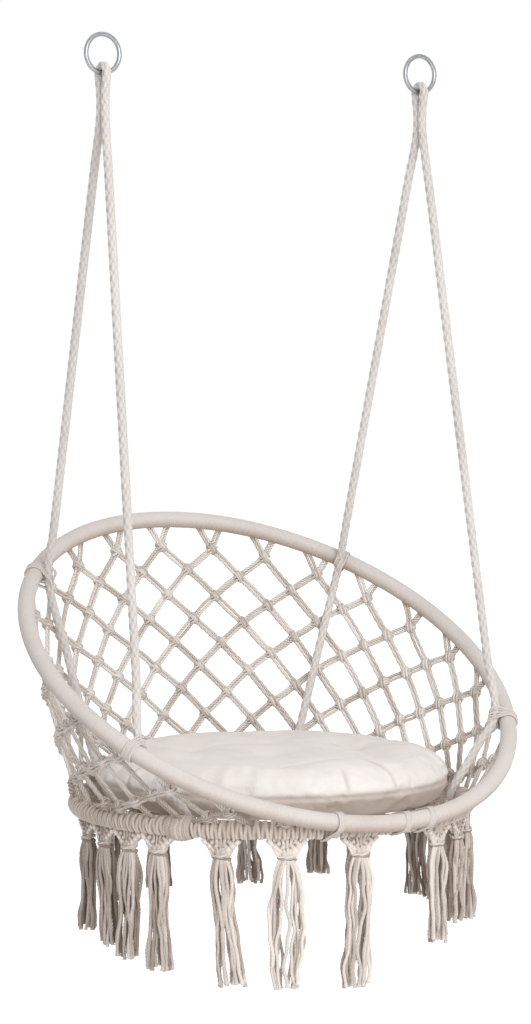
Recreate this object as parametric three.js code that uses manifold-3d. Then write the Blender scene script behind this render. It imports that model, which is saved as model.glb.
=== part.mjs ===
// A macrame hammock chair: two cotton-wrapped steel hoops with a knotted net between them, hung from
// two steel rings by a folded rope on each side. A round tufted cushion lies on the net of the seat
// hoop, and a fringe of tassels hangs below it.
// Millimetres, +Z up, the sitter faces -Y. The origin lies midway between the two points where the
// overhead hooks bear on the inside of the hanging rings, so the whole chair is below it.
import * as THREE from "three";
import { mergeVertices } from "three/addons/utils/BufferGeometryUtils.js";
import Module from "manifold-3d";

const wasm = await Module();
wasm.setup();

const degrees = THREE.MathUtils.degToRad;

// Driving dimensions
const clearance = 0.35;              // gap between pieces that touch
const backHoopDiameter = 774;        // centre line of the back hoop's steel tube
const backHoopTilt = degrees(32.2);
const seatHoopDiameter = 596;        // centre line of the seat hoop's steel tube
const steelTubeDiameter = 19;
const backWrapDiameter = 26;         // over the cord wound round the back hoop
const seatWrapDiameter = 29;         // over the half hitches tied round the seat hoop
const wrapSeamWidth = 1.6;           // where the two edges of a hoop's winding meet
const hoopContactAngle = degrees(14); // how far above the seat hoop's level the back hoop touches it
const hoopContactGap = 0.6;          // between the two hoops' windings there
const seatDrop = 1152;               // from the hooks' bearing points down to the seat hoop's plane
const ropeSpread = 582;              // from one hanging ring to the other
const seatHoopSetback = 12;          // the seat hoop's centre lies this far in front of the rings

// Places round the hoops are angles from the middle of the back, positive towards +X.
const backRadius = backHoopDiameter / 2;
const seatRadius = seatHoopDiameter / 2;
const backTubeRadius = backWrapDiameter / 2;
const seatTubeRadius = seatWrapDiameter / 2;
const hoopSpacing = backTubeRadius + seatTubeRadius + hoopContactGap;
const seatCentre = new THREE.Vector3(0, -seatHoopSetback, -seatDrop);
const backCentre = new THREE.Vector3(
  0,
  seatCentre.y - seatRadius - hoopSpacing * Math.cos(hoopContactAngle) + backRadius * Math.cos(backHoopTilt),
  seatCentre.z + hoopSpacing * Math.sin(hoopContactAngle) + backRadius * Math.sin(backHoopTilt),
);

const chair = new THREE.Group();
chair.name = "hammock_chair";

// Finishes
function finish(color, roughness, metalness) {
  return new THREE.MeshStandardMaterial({ color, roughness, metalness });
}
const steel = { color: "#9a9da0", roughness: 0.3, metalness: 1 };
const rawSteel = { color: "#7d7f82", roughness: 0.45, metalness: 1 };
const wrapCotton = { color: "#d9d0c9", roughness: 0.9, metalness: 0 };
const netCotton = { color: "#c3b7ac", roughness: 0.92, metalness: 0 };
const ropeCotton = { color: "#d6cec7", roughness: 0.9, metalness: 0 };
const tasselCotton = { color: "#b3a698", roughness: 0.94, metalness: 0 };
const cushionCotton = { color: "#e7e2df", roughness: 0.88, metalness: 0 };

// Adds one named piece to the chair.
function add(name, geometry, look) {
  const piece = new THREE.Mesh(geometry, finish(look.color, look.roughness, look.metalness));
  piece.name = name;
  chair.add(piece);
  return piece;
}

// A geometry from a list of points and a list of triangles.
function shell(points, triangles) {
  const geometry = new THREE.BufferGeometry();
  const numbers = points.flatMap((point) => point.toArray());
  geometry.setAttribute("position", new THREE.Float32BufferAttribute(numbers, 3));
  geometry.setIndex(triangles.flat());
  geometry.computeVertexNormals();
  return geometry;
}

// Rings of points joined into a skin: round ends are closed by caps, or the last ring joins the first.
function loft(rings, isLoop = false) {
  const sides = rings[0].length;
  const triangles = [];
  const spans = isLoop ? rings.length : rings.length - 1;
  for (let i = 0; i < spans; i += 1) {
    const here = i * sides;
    const next = ((i + 1) % rings.length) * sides;
    for (let k = 0; k < sides; k += 1) {
      const other = (k + 1) % sides;
      triangles.push([here + k, here + other, next + other]);
      triangles.push([here + k, next + other, next + k]);
    }
  }
  if (!isLoop) {
    const last = (rings.length - 1) * sides;
    for (let k = 1; k < sides - 1; k += 1) {
      triangles.push([0, k + 1, k]);
      triangles.push([last, last + k, last + k + 1]);
    }
  }
  return shell(rings.flat(), triangles);
}

// Points on the centre lines of the two hoops.
function onBackHoop(angle) {
  const along = backRadius * Math.cos(angle);
  return new THREE.Vector3(
    backRadius * Math.sin(angle),
    backCentre.y + along * Math.cos(backHoopTilt),
    backCentre.z + along * Math.sin(backHoopTilt),
  );
}
function onSeatHoop(angle) {
  return new THREE.Vector3(
    seatRadius * Math.sin(angle),
    seatCentre.y + seatRadius * Math.cos(angle),
    seatCentre.z,
  );
}
function inwardOf(point, centre) {
  return centre.clone().sub(point).normalize();
}

// Hoops: a bent and welded steel tube, and round it a winding of cotton cord whose two edges meet in
// a seam on the underside.
const hoopSteps = 44;
const tubeSides = 6;
const wrapSides = 8;
// A straight step of a hoop lies this share of its radius inside the circle.
const stepSagShare = 1 - Math.cos(Math.PI / hoopSteps);
const backSag = backRadius * stepSagShare;
const seatSag = seatRadius * stepSagShare;
const backReach = backTubeRadius + backSag + clearance;
const seatReach = seatTubeRadius + seatSag + clearance;
function hoopTube(radius) {
  return new THREE.TorusGeometry(radius, steelTubeDiameter / 2, tubeSides, hoopSteps);
}
function hoopWrap(radius, wrapRadius) {
  const boreRadius = steelTubeDiameter / 2 + clearance;
  const halfSeam = wrapSeamWidth / 2;
  const profile = [];
  const outerStart = Math.asin(halfSeam / wrapRadius);
  const innerStart = Math.asin(halfSeam / boreRadius);
  for (let k = 0; k <= wrapSides; k += 1) {
    const turn = outerStart + (k / wrapSides) * (2 * Math.PI - 2 * outerStart);
    profile.push(new THREE.Vector2(radius - wrapRadius * Math.sin(turn), -wrapRadius * Math.cos(turn)));
  }
  // The tube's corners reach the bore's circle, so the bore's flats lie outside that circle.
  const boreCorner = boreRadius / Math.cos(Math.PI / wrapSides);
  for (let k = wrapSides; k >= 0; k -= 1) {
    const turn = innerStart + (k / wrapSides) * (2 * Math.PI - 2 * innerStart);
    profile.push(new THREE.Vector2(radius - boreCorner * Math.sin(turn), -boreCorner * Math.cos(turn)));
  }
  profile.push(profile[0].clone());
  profile.reverse();
  const wrap = new THREE.LatheGeometry(profile, hoopSteps);
  wrap.rotateX(Math.PI / 2);
  return wrap;
}
function setAt(piece, centre, tilt) {
  piece.position.copy(centre);
  piece.rotation.x = tilt;
}
setAt(add("back_hoop_tube", hoopTube(backRadius), rawSteel), backCentre, backHoopTilt);
setAt(add("back_hoop_wrap", hoopWrap(backRadius, backTubeRadius), wrapCotton), backCentre, backHoopTilt);
setAt(add("seat_hoop_tube", hoopTube(seatRadius), rawSteel), seatCentre, 0);
setAt(add("seat_hoop_wrap", hoopWrap(seatRadius, seatTubeRadius), netCotton), seatCentre, 0);

// Hanging rings: welded steel, round wire. An overhead hook bears on the inside of the top.
const ringBore = 50;
const ringWire = 7;
const ringSides = 8;
const ringSteps = 24;
const ringRadius = (ringBore + ringWire) / 2;
const ringCentreDrop = ringBore / 2;
for (const [side, name] of [[-1, "left_ring"], [1, "right_ring"]]) {
  const ring = add(name, new THREE.TorusGeometry(ringRadius, ringWire / 2, ringSides, ringSteps), steel);
  ring.rotation.x = Math.PI / 2;
  ring.position.set((side * ropeSpread) / 2, 0, -ringCentreDrop);
}

// Ropes: on each side one braided cotton rope is folded over the ring. Its two legs hang side by
// side, part, cross the inner side of the back hoop and end in a turn under the seat hoop.
const ropeDiameter = 14;
const ropeSides = 8;
const legsTogether = 62;             // from the ring's wire down to where the legs part
const legsDrawIn = 26;               // from the wire down to where the legs first touch
const rearLegAngle = degrees(48.5);
const frontLegAngle = degrees(117.7);
const rearLegFootAngle = degrees(40);
const frontLegFootAngle = degrees(120);
const ropeRadius = ropeDiameter / 2;
const boundRadius = ringWire / 2 + ropeRadius + clearance;
const legGap = ropeRadius + clearance / 2;
const wireDrop = ringBore + ringWire / 2;
const bendSteps = 8;
const legSteps = 9;
const footSteps = 8;
const footStretchSteps = 3;

// Where a leg crosses the back hoop, and the arc of points round the seat hoop where it ends. The arc
// starts where the straight stretch from the crossing touches it, and ends on the outer side.
function crossingPoint(side, angle) {
  const hoop = onBackHoop(side * angle);
  return hoop.addScaledVector(inwardOf(hoop, backCentre), backReach + ropeRadius);
}
function footPoints(side, angle, crossing) {
  const seat = onSeatHoop(side * angle);
  const inward = inwardOf(seat, seatCentre);
  const arcRadius = (seatReach + ropeRadius) / Math.cos(Math.PI / footSteps / 2);
  const above = new THREE.Vector2(crossing.clone().sub(seat).dot(inward), crossing.z - seat.z);
  const start = above.angle() - Math.acos(arcRadius / above.length());
  const points = [];
  for (let k = 0; k <= footSteps; k += 1) {
    const turn = start - (k / footSteps) * (start + Math.PI);
    const point = seat.clone().addScaledVector(inward, arcRadius * Math.cos(turn));
    point.z += arcRadius * Math.sin(turn);
    points.push(point);
  }
  return points;
}

// One leg from the side of the ring's wire down to its foot, as points on the rope's centre line.
function legPoints(side, towards, angle, footAngle) {
  const x = (side * ropeSpread) / 2;
  const points = [];
  points.push(new THREE.Vector3(x, towards * boundRadius, -wireDrop - ropeRadius));
  points.push(new THREE.Vector3(x, towards * legGap, -wireDrop - legsDrawIn));
  const fork = new THREE.Vector3(x, towards * legGap, -wireDrop - legsTogether);
  const crossing = crossingPoint(side, angle);
  for (let k = 0; k < legSteps; k += 1) points.push(fork.clone().lerp(crossing, k / legSteps));
  const foot = footPoints(side, footAngle, crossing);
  for (let k = 0; k < footStretchSteps; k += 1) {
    points.push(crossing.clone().lerp(foot[0], k / footStretchSteps));
  }
  points.push(...foot);
  return points;
}

// A rope along points, with one section of its solid at each point.
class RopeLine extends THREE.CatmullRomCurve3 {
  getUtoTmapping(share) {
    return share;
  }
}
function rope(side) {
  const front = legPoints(side, -1, frontLegAngle, frontLegFootAngle);
  const rear = legPoints(side, 1, rearLegAngle, rearLegFootAngle);
  const bend = [];
  for (let k = 0; k <= bendSteps; k += 1) {
    const turn = (k / bendSteps) * Math.PI;
    const out = -boundRadius * Math.cos(turn);
    bend.push(new THREE.Vector3((side * ropeSpread) / 2, out, boundRadius * Math.sin(turn) - wireDrop));
  }
  const line = new RopeLine([...front.reverse(), ...bend, ...rear], false, "centripetal");
  const section = new THREE.Shape();
  for (let k = 0; k < ropeSides; k += 1) {
    const turn = (k / ropeSides) * 2 * Math.PI;
    const move = k === 0 ? "moveTo" : "lineTo";
    section[move](ropeRadius * Math.cos(turn), ropeRadius * Math.sin(turn));
  }
  section.closePath();
  const steps = line.points.length - 1;
  return new THREE.ExtrudeGeometry(section, { steps, bevelEnabled: false, extrudePath: line });
}
add("left_rope", rope(-1), ropeCotton);
add("right_rope", rope(1), ropeCotton);

// Front lashings: at the front the two hoops lie side by side and cord is wound round both.
const lashingCord = 4.5;
const frontLashingWidth = 17;
const frontLashingAngles = [168, 177, 199].map(degrees);

// Knotted nets: a net is a list of knots, each with its place and the outward direction of the net
// there, and a list of strands. A strand runs from one knot to another, or from a knot to a free end.
const strandWidth = 10;
const strandThickness = 6;
const knotThickness = 13;
const halfWidth = strandWidth / 2;
const strandCorners = 4;
const strandSlimShare = 0.6;         // keeps the corner between two nearly parallel strands close

// A knot's corners lie between neighbouring strands, where the edges of the two strands meet.
function knotCorners(knot) {
  const spokes = knot.spokes;
  const normal = knot.normal;
  const across = spokes[0].heading.clone().projectOnPlane(normal).normalize();
  const up = normal.clone().cross(across);
  for (const spoke of spokes) spoke.bearing = Math.atan2(spoke.heading.dot(up), spoke.heading.dot(across));
  spokes.sort((a, b) => a.bearing - b.bearing);
  spokes.forEach((spoke, k) => {
    const next = spokes[(k + 1) % spokes.length];
    const opening = THREE.MathUtils.euclideanModulo(next.bearing - spoke.bearing, 2 * Math.PI);
    const middle = spoke.bearing + opening / 2;
    const reach = halfWidth / Math.max(Math.sin(opening / 2), strandSlimShare);
    const corner = knot.place.clone();
    corner.addScaledVector(across, reach * Math.cos(middle));
    corner.addScaledVector(up, reach * Math.sin(middle));
    spoke.left = corner;
    next.right = corner;
  });
}

// The solid of a net. Each strand has a raised middle line on its outer and inner face, and it is
// thinnest half way between its knots.
function netSolid(knots, strands, isWaisted = true) {
  const points = [];
  const triangles = [];
  const number = new Map();
  const index = (point) => {
    if (!number.has(point)) {
      number.set(point, points.length);
      points.push(point);
    }
    return number.get(point);
  };
  for (const knot of knots) {
    knot.spokes = [];
    knot.top = knot.place.clone().addScaledVector(knot.normal, knotThickness / 2);
    knot.bottom = knot.place.clone().addScaledVector(knot.normal, -knotThickness / 2);
  }
  for (const strand of strands) {
    const end = strand.to ? strand.to.place : strand.end;
    const heading = end.clone().sub(strand.from.place).normalize();
    strand.spokes = [{ heading }];
    strand.from.spokes.push(strand.spokes[0]);
    if (strand.to) {
      strand.spokes.push({ heading: heading.clone().negate() });
      strand.to.spokes.push(strand.spokes[1]);
    }
  }
  for (const knot of knots) knotCorners(knot);
  for (const strand of strands) {
    const { from, to } = strand;
    const start = [from.top, strand.spokes[0].left, from.bottom, strand.spokes[0].right];
    const endPlace = to ? to.place : strand.end;
    const endNormal = to ? to.normal : strand.normal;
    const sections = [start];
    const middleOf = from.place.clone().lerp(endPlace, 1 / 2);
    const normal = from.normal.clone().add(endNormal).normalize();
    if (to && isWaisted) sections.push(strandSection(middleOf, strand.spokes[0].heading, normal));
    sections.push(
      to
        ? [to.top, strand.spokes[1].right, to.bottom, strand.spokes[1].left]
        : strandSection(endPlace, strand.spokes[0].heading, endNormal),
    );
    const rings = sections.map((section) => section.map(index));
    for (let i = 0; i < rings.length - 1; i += 1) {
      for (let k = 0; k < strandCorners; k += 1) {
        const other = (k + 1) % strandCorners;
        triangles.push([rings[i][k], rings[i + 1][k], rings[i + 1][other]]);
        triangles.push([rings[i][k], rings[i + 1][other], rings[i][other]]);
      }
    }
    if (!to) {
      const cap = rings[rings.length - 1];
      triangles.push([cap[0], cap[2], cap[1]]);
      triangles.push([cap[0], cap[3], cap[2]]);
    }
  }
  return shell(points, triangles);
}

// The four points of a strand's section: outer middle, left edge, inner middle, right edge.
function strandSection(place, heading, normal) {
  const left = normal.clone().cross(heading).normalize();
  return [
    place.clone().addScaledVector(normal, strandThickness / 2),
    place.clone().addScaledVector(left, halfWidth),
    place.clone().addScaledVector(normal, -strandThickness / 2),
    place.clone().addScaledVector(left, -halfWidth),
  ];
}

// How far a point lies outside a hoop's winding, which has flat steps round the hoop and flat sides
// round the cord.
function hoopGap(point, centre, tilt, radius, wrapRadius) {
  const local = point.clone().sub(centre).applyAxisAngle(new THREE.Vector3(1, 0, 0), -tilt);
  const step = (2 * Math.PI) / hoopSteps;
  const pastStep = THREE.MathUtils.euclideanModulo(Math.atan2(local.x, local.y), step) - step / 2;
  const reach = (Math.hypot(local.x, local.y) * Math.cos(pastStep)) / Math.cos(step / 2);
  const seam = Math.asin(wrapSeamWidth / 2 / wrapRadius);
  const side = (2 * Math.PI - 2 * seam) / wrapSides;
  const turn = Math.atan2(radius - reach, -local.z) - seam;
  const pastSide = THREE.MathUtils.euclideanModulo(turn, side) - side / 2;
  const flat = Math.hypot(reach - radius, local.z) * Math.cos(pastSide);
  return flat - wrapRadius * Math.cos(side / 2);
}

// Whether a point is clear of both hoops, of the cord lashed round them and of the ropes' feet.
const footDistance = seatReach + ropeRadius;
const feet = [-1, 1].flatMap((side) =>
  [rearLegFootAngle, frontLegFootAngle].map((angle) => {
    const seat = onSeatHoop(side * angle);
    return seat.clone().addScaledVector(inwardOf(seat, seatCentre), footDistance);
  }),
);
const footReach = ropeRadius / Math.cos(Math.PI / ropeSides) + clearance;
function isClear(point) {
  if (hoopGap(point, backCentre, backHoopTilt, backRadius, backTubeRadius) < clearance) return false;
  const isLashed = frontLashingAngles.some((angle) => {
    const middle = onSeatHoop(angle);
    return Math.hypot(point.x - middle.x, point.y - middle.y) < seatReach + frontLashingWidth;
  });
  const room = clearance + (isLashed ? lashingCord + seatSag + clearance : 0);
  if (hoopGap(point, seatCentre, 0, seatRadius, seatTubeRadius) < room) return false;
  const isOverFoot = point.z < seatCentre.z + seatTubeRadius;
  return !isOverFoot || feet.every((foot) => Math.hypot(point.x - foot.x, point.y - foot.y) > footReach);
}
// Shortens a strand that runs into one of them until its end section is clear.
const trimSteps = 400;
function trimmedEnd(from, target, normal) {
  const heading = target.clone().sub(from).normalize();
  let end = from.clone();
  for (let k = 1; k <= trimSteps; k += 1) {
    const place = from.clone().lerp(target, k / trimSteps);
    if (!strandSection(place, heading, normal).every(isClear)) break;
    end = place;
  }
  return end;
}

// The back net hangs between the hoops. Its rows of knots follow the back hoop, its columns run down
// to the seat hoop with a lean that dies away towards the front, and the lowest knots are tied close
// above the seat hoop's winding.
const netColumns = 26;
const rowPitch = 39;
const firstRowDrop = 43;             // from the back hoop's centre line to the first row of knots
const topSpreadShare = 0.45;         // a first knot's two strands meet the hoop this close together
const netLean = degrees(9);          // the middle column reaches the seat hoop this far to the right
const knotSeat = 9;                  // from a lowest knot's middle to the seat hoop's winding
const rowCutOff = 9;                 // a knot that would fall further than this past it isn't tied
const columnAngle = (2 * Math.PI) / netColumns;
const panelEndShares = [0.15, 0.38, 0.65, 1]; // of half the columns, from the middle of the back
const panelNames = ["back", "rear", "side", "front"];

function netFoot(column) {
  const angle = column * columnAngle;
  return onSeatHoop(angle + netLean * Math.cos(angle / 2) ** 2);
}
function netPoint(column, drop) {
  const top = onBackHoop(column * columnAngle);
  return top.add(netFoot(column).sub(top).normalize().multiplyScalar(drop));
}
function netNormal(column, drop) {
  const along = netPoint(column + 1 / 4, drop).sub(netPoint(column - 1 / 4, drop));
  const down = netPoint(column, drop + rowPitch).sub(netPoint(column, drop));
  return down.cross(along).normalize();
}
function panelOf(column) {
  return panelEndShares.findIndex((share) => Math.abs(column) < (share * netColumns) / 2);
}
function netHeight(column) {
  return onBackHoop(column * columnAngle).distanceTo(netFoot(column));
}

const netKnots = new Map();
const keyOf = (row, column) => row + ":" + column;
for (let row = 0; row * rowPitch < backHoopDiameter; row += 1) {
  const shift = row % 2 === 0 ? 0 : 1 / 2;
  for (let k = -netColumns / 2; k < netColumns / 2; k += 1) {
    const column = k + shift;
    const room = netHeight(column) - seatReach;
    const tied = firstRowDrop + row * rowPitch;
    const drop = Math.min(tied, room - knotSeat);
    if (tied > room + rowCutOff || panelOf(column) < 0) continue;
    const place = netPoint(column, drop);
    const normal = netNormal(column, drop);
    netKnots.set(keyOf(row, column), { row, column, drop, place, normal, panel: panelOf(column) });
  }
}

// Every knot ties two strands up and two down. A strand that crosses to the next panel stops short
// of that panel's knot. A knot with no neighbour in its panel isn't tied.
const panelGap = strandWidth + clearance;
const steps = [-1, 1].flatMap((rowStep) => [-1 / 2, 1 / 2].map((columnStep) => ({ rowStep, columnStep })));
function neighbour(knot, { rowStep, columnStep }) {
  return netKnots.get(keyOf(knot.row + rowStep, knot.column + columnStep));
}
const panels = new Map();
function panelList(panel, column) {
  const side = panel === 0 ? "" : column < 0 ? "_left" : "_right";
  const name = "net_" + panelNames[panel] + side;
  if (!panels.has(name)) panels.set(name, { knots: [], strands: [] });
  return panels.get(name);
}
for (const [key, knot] of netKnots) {
  if (steps.every((step) => neighbour(knot, step)?.panel !== knot.panel)) netKnots.delete(key);
}
for (const knot of netKnots.values()) {
  const home = panelList(knot.panel, knot.column);
  home.knots.push(knot);
  for (const step of steps) {
    const other = neighbour(knot, step);
    if (other && other.panel === knot.panel) {
      if (step.rowStep > 0) home.strands.push({ from: knot, to: other });
      continue;
    }
    if (other && other.panel < knot.panel) continue;
    if (other) {
      const length = knot.place.distanceTo(other.place);
      const end = knot.place.clone().lerp(other.place, 1 - panelGap / length);
      home.strands.push({ from: knot, end, normal: other.normal });
      continue;
    }
    const spread = step.rowStep < 0 ? step.columnStep * topSpreadShare : step.columnStep;
    const target = netPoint(knot.column + spread, knot.drop + step.rowStep * rowPitch);
    const end = trimmedEnd(knot.place, target, knot.normal);
    home.strands.push({ from: knot, end, normal: knot.normal });
  }
}
for (const [name, { knots, strands }] of panels) add(name, netSolid(knots, strands), netCotton);

// The seat net fills the seat hoop with the same knots in a plain diagonal grid, pulled taut.
const seatNetPitch = 41;
const seatKnots = new Map();
const seatRoom = seatRadius - seatReach;
const seatCells = Math.ceil(seatRadius / seatNetPitch);
for (let i = -seatCells; i <= seatCells; i += 1) {
  for (let j = -seatCells; j <= seatCells; j += 1) {
    if ((i + j) % 2 !== 0) continue;
    const offset = new THREE.Vector3(i * seatNetPitch, j * seatNetPitch, 0);
    if (offset.length() > seatRoom + rowCutOff) continue;
    offset.clampLength(0, seatRoom - knotSeat);
    seatKnots.set(keyOf(i, j), { i, j, place: offset.add(seatCentre), normal: new THREE.Vector3(0, 0, -1) });
  }
}
const seatStrands = [];
for (const knot of seatKnots.values()) {
  for (const [di, dj] of [[-1, -1], [-1, 1], [1, -1], [1, 1]]) {
    const other = seatKnots.get(keyOf(knot.i + di, knot.j + dj));
    if (other) {
      if (di > 0) seatStrands.push({ from: knot, to: other });
      continue;
    }
    const target = knot.place.clone().add(new THREE.Vector3(di * seatNetPitch, dj * seatNetPitch, 0));
    seatStrands.push({ from: knot, end: trimmedEnd(knot.place, target, knot.normal), normal: knot.normal });
  }
}
add("seat_net", netSolid([...seatKnots.values()], seatStrands, false), netCotton);

// The outline round two circles seen end on, grown by a distance: it bulges round each circle.
const outlineSteps = 14;
function outlineRound(a, b, radiusA, radiusB, grow) {
  const across = b.clone().sub(a);
  const heading = across.angle();
  const lean = Math.acos(THREE.MathUtils.clamp((radiusA - radiusB) / across.length(), -1, 1));
  const spans = outlineSteps / 2 - 1;
  const points = [];
  const arc = (middle, radius, from, sweep) => {
    const reach = (radius + grow) / Math.cos(sweep / spans / 2);
    for (let k = 0; k <= spans; k += 1) {
      const turn = from + (k / spans) * sweep;
      points.push(new THREE.Vector2(Math.cos(turn), Math.sin(turn)).multiplyScalar(reach).add(middle));
    }
  };
  arc(a, radiusA, heading + lean, 2 * Math.PI - 2 * lean);
  arc(b, radiusB, heading - lean, 2 * lean);
  return points;
}

// A front lashing is a band between two upright planes, each square to X.
function frontLashing(angle) {
  const halfTurn = frontLashingWidth / 2 / seatRadius;
  const edges = [angle - halfTurn, angle + halfTurn].map((edge) => {
    const seat = onSeatHoop(edge);
    const back = onBackHoop(Math.PI - Math.asin(seat.x / backRadius));
    const slant = 1 / Math.abs(Math.cos(edge));
    back.addScaledVector(inwardOf(back, backCentre), backSag / 2);
    return [clearance, clearance + lashingCord].map((grow) =>
      outlineRound(
        new THREE.Vector2(back.y, back.z),
        new THREE.Vector2(seat.y + seatSag / 2, seat.z),
        (backTubeRadius + backSag / 2) * slant,
        (seatTubeRadius + seatSag / 2) * slant,
        grow,
      ).map((point) => new THREE.Vector3(seat.x, point.x, point.y)),
    );
  });
  const [[innerA, outerA], [innerB, outerB]] = edges;
  return loft(innerA.map((point, k) => [point, outerA[k], outerB[k], innerB[k]]), true);
}
frontLashingAngles.forEach((angle, k) => {
  add("front_lashing_" + (k + 1), frontLashing(angle), wrapCotton);
});

// Rope lashings: two crossed loops of cord bind each rope leg to the inner side of the back hoop.
// Each loop halves the angle between the rope and the hoop, so in its plane both have round sections
// that are stretched alike. The rope bends inside the lashing, and the sharper the bend, the more
// room it needs there.
const loopSides = 4;
const bendShare = 0.45;              // of the rope's radius, the room that a nearly straight rope needs
function asManifold(geometry) {
  geometry.deleteAttribute("normal");
  const merged = mergeVertices(geometry);
  const vertProperties = new Float32Array(merged.attributes.position.array);
  const triVerts = new Uint32Array(merged.index.array);
  return new wasm.Manifold(new wasm.Mesh({ numProp: 3, vertProperties, triVerts }));
}
function asGeometry(solid) {
  const { vertProperties, triVerts } = solid.getMesh();
  const geometry = new THREE.BufferGeometry();
  geometry.setAttribute("position", new THREE.BufferAttribute(new Float32Array(vertProperties), 3));
  geometry.setIndex(new THREE.BufferAttribute(new Uint32Array(triVerts), 1));
  geometry.computeVertexNormals();
  return geometry;
}
function lashingLoop(hoop, inward, line, stretch, bendRoom) {
  const cordRadius = lashingCord / 2;
  const normal = inward.clone().cross(line).normalize();
  const outline = outlineRound(
    new THREE.Vector2(),
    new THREE.Vector2(backReach + ropeRadius, 0),
    backReach,
    ropeRadius + bendRoom,
    cordRadius + clearance,
  ).map((p) => hoop.clone().addScaledVector(inward, p.x).addScaledVector(line, p.y * stretch));
  const rings = outline.map((place, k) => {
    const last = outline[(k + outline.length - 1) % outline.length];
    const next = outline[(k + 1) % outline.length];
    const away = normal.clone().cross(next.clone().sub(last)).normalize();
    const ring = [];
    for (let j = 0; j < loopSides; j += 1) {
      const turn = (j / loopSides) * 2 * Math.PI;
      const edge = place.clone().addScaledVector(away, cordRadius * Math.cos(turn));
      ring.push(edge.addScaledVector(normal, cordRadius * Math.sin(turn)));
    }
    return ring;
  });
  return loft(rings, true);
}
function ropeLashing(side, legAngle, footAngle, towards) {
  const angle = side * legAngle;
  const hoop = onBackHoop(angle);
  const inward = inwardOf(hoop, backCentre);
  const tangent = onBackHoop(angle + columnAngle / 4).sub(onBackHoop(angle - columnAngle / 4)).normalize();
  const crossing = crossingPoint(side, legAngle);
  const fork = new THREE.Vector3((side * ropeSpread) / 2, towards * legGap, -wireDrop - legsTogether);
  const upper = crossing.clone().sub(fork).normalize();
  const lower = footPoints(side, footAngle, crossing)[0].sub(crossing).normalize();
  const bendRoom = ropeRadius * (Math.tan(upper.angleTo(lower) / 2) + bendShare);
  const run = upper.add(lower).projectOnPlane(inward).normalize();
  const loops = [1, -1].map((sign) => {
    const line = run.clone().addScaledVector(tangent, sign).normalize();
    return lashingLoop(hoop, inward, line, 1 / Math.abs(Math.sin(line.angleTo(tangent))), bendRoom);
  });
  return asGeometry(loops.map(asManifold).reduce((a, b) => a.add(b)));
}
for (const [side, name] of [[-1, "left"], [1, "right"]]) {
  add("rear_" + name + "_lashing", ropeLashing(side, rearLegAngle, rearLegFootAngle, 1), wrapCotton);
  add("front_" + name + "_lashing", ropeLashing(side, frontLegAngle, frontLegFootAngle, -1), wrapCotton);
}

// Tassels: cords tied along the seat hoop are drawn together in a knotted triangle and hang free
// below its neck.
// Places by hand along the seat hoop, as shares of a turn from the middle of the back, and how much of
// the longest tassel each one has.
const tasselPlaceShares = [
  0.074, 0.138, 0.174, 0.236, 0.268, 0.301, 0.361, 0.4015, 0.441,
  0.524, 0.5825, 0.6335, 0.6875, 0.718, 0.749, 0.7805, 0.9305, 0.992,
];
const tasselLengthShares = [
  0.75, 0.68, 0.74, 0.75, 0.76, 0.76, 0.75, 0.7, 0.79, 0.99, 0.98, 0.97, 0.9, 0.86, 0.8, 0.75, 0.78, 0.73,
];
const tasselWidth = 54;              // along the hoop, where the cords are tied
const tasselDepth = 9;
const neckWidth = 30;
const neckDepth = 15;
const neckDrop = 42;                 // all drops are from the seat hoop's centre line
const skirtWidth = 46;
const skirtDepth = 30;
const skirtDrop = 88;
const hemWidth = 41;
const hemDepth = 27;
const tasselDrop = 238;
const tasselSides = 10;
const tasselTop = seatTubeRadius + clearance;
const fluteShare = 0.8;              // every second corner of the skirt is drawn in to this
// Levels from the hoop down: the knotted triangle, its neck, the skirt where it is widest, the hem.
const tasselLevels = (lengthShare) => [
  { drop: tasselTop, width: tasselWidth, depth: tasselDepth },
  { drop: (tasselTop + neckDrop) / 2, width: (tasselWidth + neckWidth) / 2, depth: tasselDepth },
  { drop: neckDrop, width: neckWidth, depth: neckDepth },
  { drop: skirtDrop, width: skirtWidth, depth: skirtDepth },
  { drop: tasselDrop * lengthShare, width: hemWidth, depth: hemDepth },
];
function tassel(angle, lengthShare) {
  const hoop = onSeatHoop(angle);
  const outward = inwardOf(hoop, seatCentre).negate();
  const tangent = outward.clone().cross(new THREE.Vector3(0, 0, 1));
  const rings = tasselLevels(lengthShare).map(({ drop, width, depth }) => {
    const ring = [];
    for (let k = 0; k < tasselSides; k += 1) {
      const turn = (-k / tasselSides) * 2 * Math.PI;
      const flute = drop > (tasselTop + neckDrop) / 2 && k % 2 === 1 ? fluteShare : 1;
      const place = hoop.clone().addScaledVector(tangent, (width / 2) * flute * Math.cos(turn));
      place.addScaledVector(outward, (depth / 2) * flute * Math.sin(turn));
      place.z -= drop;
      ring.push(place);
    }
    return ring;
  });
  return loft(rings);
}
tasselPlaceShares.forEach((placeShare, k) => {
  const name = "tassel_" + String(k + 1).padStart(2, "0");
  add(name, tassel(placeShare * 2 * Math.PI, tasselLengthShares[k]), tasselCotton);
});

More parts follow.
